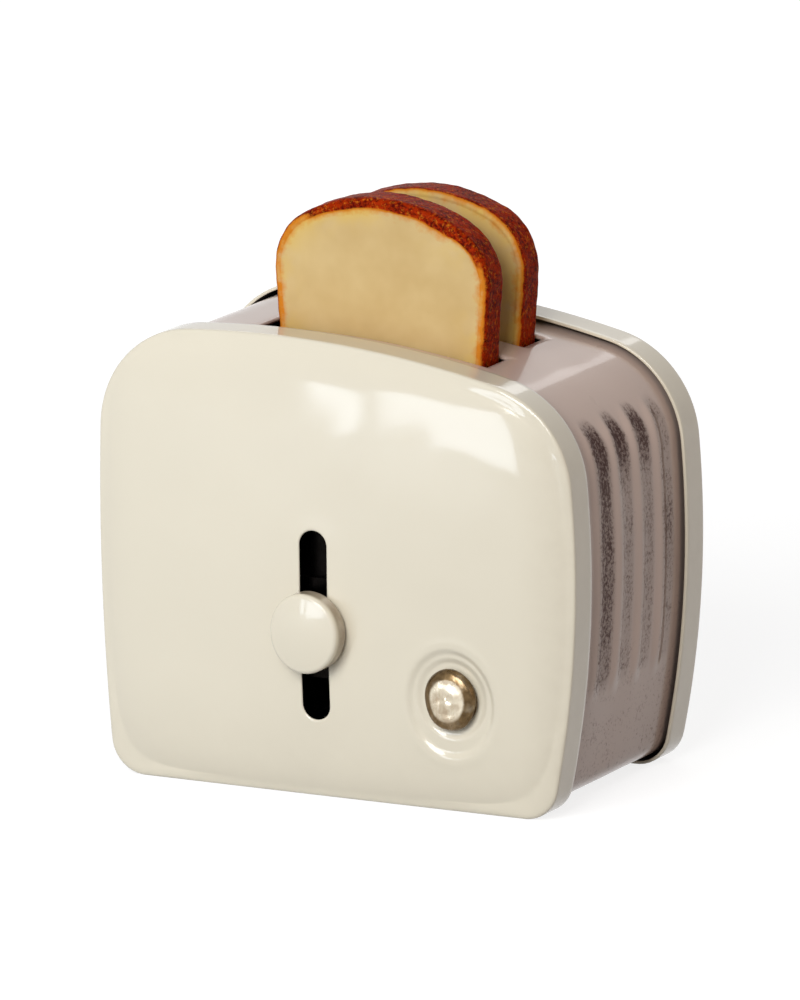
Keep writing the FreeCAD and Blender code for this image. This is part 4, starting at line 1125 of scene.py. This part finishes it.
def makeSlice(node, seed, shift, form):
    low, high = nodeSpan(node)
    x0, z0 = (low[0] + high[0]) / 2 + shift, low[2]
    front, back = low[1], high[1]
    dense = sliceOutline(form, z0, x0)
    dense = np.vstack([dense, dense[:1]])
    run = np.concatenate([[0], np.cumsum(np.hypot(*np.diff(dense, axis=0).T))])
    columns = 300
    at = np.linspace(0, run[-1], columns, endpoint=False)
    edge = np.stack([np.interp(at, run, dense[:, k]) for k in (0, 1)], -1)
    ahead = np.roll(edge, -1, 0) - np.roll(edge, 1, 0)
    normal = np.stack([ahead[:, 1], -ahead[:, 0]], -1) / np.linalg.norm(ahead, axis=1, keepdims=True)
    centre = np.array([x0, z0 + form["height"] * form["centre"]])
    phase = seed * 1.9
    turn = 2 * np.pi * at / run[-1]

    def bumps(across):
        # crust bumps: sines of several lengths round the loaf, changing across its thickness
        return form["crustBump"] * (0.55 * np.sin(11 * turn + phase + across * 0.5)
                                    + 0.3 * np.sin(29 * turn - 1.3 * across + phase)
                                    + 0.25 * np.sin(61 * turn + 2.1 * across) - 0.8)

    edgeRound = form["edgeRound"]
    edgeDeep = edgeRound * form["edgeDepth"]
    rows, crust = [], []

    def addRow(loop, place, share):
        rows.append(np.stack([loop[:, 0], np.broadcast_to(place, columns), loop[:, 1]], -1))
        crust.append(np.broadcast_to(share, columns))

    # the crust comes over the edge onto the faces, more above than at the sides
    topness = smoothStep(normal[:, 1], 0.80, 1.0) * (1 - 0.7 * smoothStep(-normal[:, 0], 0.05, 0.40))
    rightShoulder = np.clip(2 * normal[:, 0] * normal[:, 1], 0, 1) ** 2 * (normal[:, 1] > 0)
    band = form["crustBand"] * (0.10 + 0.90 * topness + 0.45 * rightShoulder)
    band = band * (1 + 0.25 * np.sin(5 * turn + phase) + 0.15 * np.sin(13 * turn))
    sideCurve, topCurve = form["crustCurve"]
    curve = sideCurve + (topCurve - sideCurve) * topness

    def faceShare(fromEdge):
        fading = 0.42 * np.exp(-np.maximum(fromEdge - band, 0) / 1.5)
        return fading + 0.5 * (1 - smoothStep(fromEdge, band - 0.45, band + 0.05))

    def crumbRow(weight, sign):
        # one ring of a face, which bulges and ripples a little; sign is -1 in front
        inner = edge - normal * edgeRound
        loop = centre + (inner - centre) * weight
        soft = form["faceBulge"] * (1 - weight ** 2) - form["faceBulge"]
        ripple = 0.025 * np.sin(loop[:, 0] * 0.9 + phase) * np.sin(loop[:, 1] * 0.7 + 2 * phase)
        place = (front if sign < 0 else back) + sign * (soft + ripple * (1 - weight ** 6) - 0.03)
        addRow(loop, place, faceShare((1 - weight) * np.hypot(*(inner - centre).T)))

    def edgeRow(angle, sign):
        # one ring of the rounded edge, from the face at 0 to the crust at a quarter turn
        swell = bumps(0.0 if sign < 0 else back - front)
        inset = edgeRound * (1 - np.sin(angle)) - swell * np.sin(angle)
        place = (front if sign < 0 else back) - sign * edgeDeep * (1 - np.cos(angle))
        share = faceShare(0.0) + (1 - faceShare(0.0)) * np.sin(angle) ** curve
        addRow(edge - normal * inset[:, None], place, share)

    weights = 1 - (1 - np.linspace(0.03, 1, 36)) ** 1.25
    angles = np.radians(np.linspace(0, 90, 9))[1:]
    for weight in weights:
        crumbRow(weight, -1)
    for angle in angles:
        edgeRow(angle, -1)
    for share in np.linspace(0, 1, 14)[1:-1]:
        deep = edgeDeep + share * (back - front - 2 * edgeDeep)
        addRow(edge + normal * bumps(deep)[:, None], front + deep, 1.0)
    for angle in angles[::-1]:
        edgeRow(angle, 1)
    for weight in weights[::-1]:
        crumbRow(weight, 1)
    points = np.stack(rows)
    faces = gridFaces(len(rows), columns, closedColumns=True)[:, ::-1]
    ring = np.arange(columns)
    last = (len(rows) - 1) * columns + ring
    fans = [((centre[0], points[0, :, 1].mean(), centre[1]), ring),
            ((centre[0], points[-1, :, 1].mean(), centre[1]), last[::-1])]
    body = frame["nodes"][node]["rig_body"]
    addMesh(node.replace("bread_slice", "breadSlice"), points, faces, [bread], body, (node,),
            {"crustShare": np.concatenate(crust)}, fans=fans)


frontChange = {"width": 28.4, "footWidth": 25.0, "height": 31.95, "lean": -0.012}
rearChange = {"height": 31.05, "crustBand": -0.3, "crustCurve": (4.0, 4.0), "lean": 0.018}
makeSlice("bread_slice_front", 1, 0.05, {**sliceForm, **frontChange})
makeSlice("bread_slice_rear", 2, -0.5, {**sliceForm, **rearChange})
print("slices made")


# The other nodes keep their shape and get a finish

nodeFinishes = [
    (tin, "base_plate"),
    (steel, "base_rivets", "lever_stem", "lever_push_nut", "dial_spring_washer", "dial_push_nut"),
    # near-black painted shade on the parts seen through the slots
    (blackenedShade, "guide_rail_left", "guide_rail_right", "slider_plate", "lift_carriage"),
    (plastic, "slot_bush", "friction_washer"),
]
for finish, *nodes in nodeFinishes:
    for node in nodes:
        materials = frame["nodes"][node].data.materials
        materials.clear()
        materials.append(finish)
print("nodes finished")


# Floor and light

stageForm = {
    "floorSize": 6000.0,
    "floorDrop": 0.02,
    "floorWhite": 0.36,
    "grainShade": 0.985,
    "glow": 0.80,  # what the floor adds near the toy for the camera and for mirrors
    "farGlow": 0.90,
    "glowReach": (110.0, 420.0),
}


def seenRays(tree):
    # 1 for rays that show a surface: straight to the camera, in a mirror or through glass
    rays = addNode(tree, "ShaderNodeLightPath").outputs
    seen = mathNode(tree, "ADD", rays["Is Camera Ray"], rays["Is Glossy Ray"])
    return mathNode(tree, "ADD", seen, rays["Is Transmission Ray"], clamp=True)


def makeStage(form):
    steps = 9
    side = np.linspace(-form["floorSize"] / 2, form["floorSize"] / 2, steps)
    x, y = np.meshgrid(side, side)
    points = np.stack([x, y, np.full_like(x, -form["floorDrop"])], -1).reshape(-1, 3)
    mesh = bpy.data.meshes.new("floor")
    mesh.from_pydata((points * mm).tolist(), [], gridFaces(steps, steps).tolist())
    floor = bpy.data.objects.new("floor", mesh)
    bpy.context.scene.collection.objects.link(floor)
    material, tree, vector, shader = newMaterial("paleFloor")
    white = form["floorWhite"]
    grain = noiseNode(tree, vector, 90.0)
    # the added glow grows away from the toy, where the lamps reach the floor less
    reach = addNode(tree, "ShaderNodeVectorMath", operation="LENGTH")
    putIn(reach.inputs[0], vector)
    near, far = form["glowReach"]
    glow = rangeNode(tree, reach.outputs["Value"], near * mm, far * mm, form["glow"], form["farGlow"])
    feed(shader, {"Base Color": mixColour(tree, grain, (white,) * 3, (white * form["grainShade"],) * 3),
                  "Roughness": 0.9, "Specular IOR Level": 0.1, "Emission Color": (1, 1, 1),
                  "Emission Strength": mathNode(tree, "MULTIPLY", seenRays(tree), glow)})
    mesh.materials.append(material)


whiteLight, windowLight = (1.0, 1.0, 1.0), (0.78, 0.87, 1.0)
lampForm = [
    # name, place in millimetres, aim, roll in degrees, width, height, power in watts, colour
    ("keyPanel", (90.0, -900.0, 560.0), (0.0, 0.0, 25.0), 0.0, 560.0, 420.0, 8.0, whiteLight),
    ("windowPanel", (-91.4, -296.7, 49.4), (-324.4, -107.9, 49.4), 4.75, 214.0, 85.0, 0.345, windowLight),
    ("windowSide", (-126.6, -272.4, 38.0), (14.2, -7.6, 38.0), 0.0, 12.0, 50.0, 0.0135, windowLight),
    ("backPanel", (-300.0, 700.0, 600.0), (0.0, 0.0, 40.0), 0.0, 500.0, 300.0, 0.8, whiteLight),
    ("warmFill", (900.0, 100.0, 260.0), (0.0, 0.0, 25.0), 0.0, 500.0, 500.0, 0.55, (1.0, 0.62, 0.42)),
]


def addLamps(lamps):
    for name, place, aim, roll, width, height, power, colour in lamps:
        data = bpy.data.lights.new(name, "AREA")
        data.shape = "RECTANGLE"
        data.size = width * mm
        data.size_y = height * mm
        data.energy = power
        data.color = colour
        lamp = bpy.data.objects.new(name, data)
        direction = Vector(aim) - Vector(place)
        turn = direction.to_track_quat("-Z", "Y") @ Quaternion((0, 0, 1), np.radians(roll))
        lamp.rotation_euler = turn.to_euler()
        lamp.location = Vector(place) * mm
        bpy.context.scene.collection.objects.link(lamp)


worldForm = {"light": 0.21, "shown": 1.0}


def makeWorld(form):
    # a white backdrop that lights the toy less than it shows
    world = bpy.data.worlds.new("studioWorld")
    world.use_nodes = True
    bpy.context.scene.world = world
    tree = world.node_tree
    strength = mathNode(tree, "MULTIPLY_ADD", seenRays(tree), form["shown"] - form["light"], form["light"])
    feed(tree.nodes["Background"], {"Color": (1, 1, 1), "Strength": strength})


makeStage(stageForm)
addLamps(lampForm)
makeWorld(worldForm)
bpy.context.scene.view_settings.view_transform = "Standard"
print("stage made")
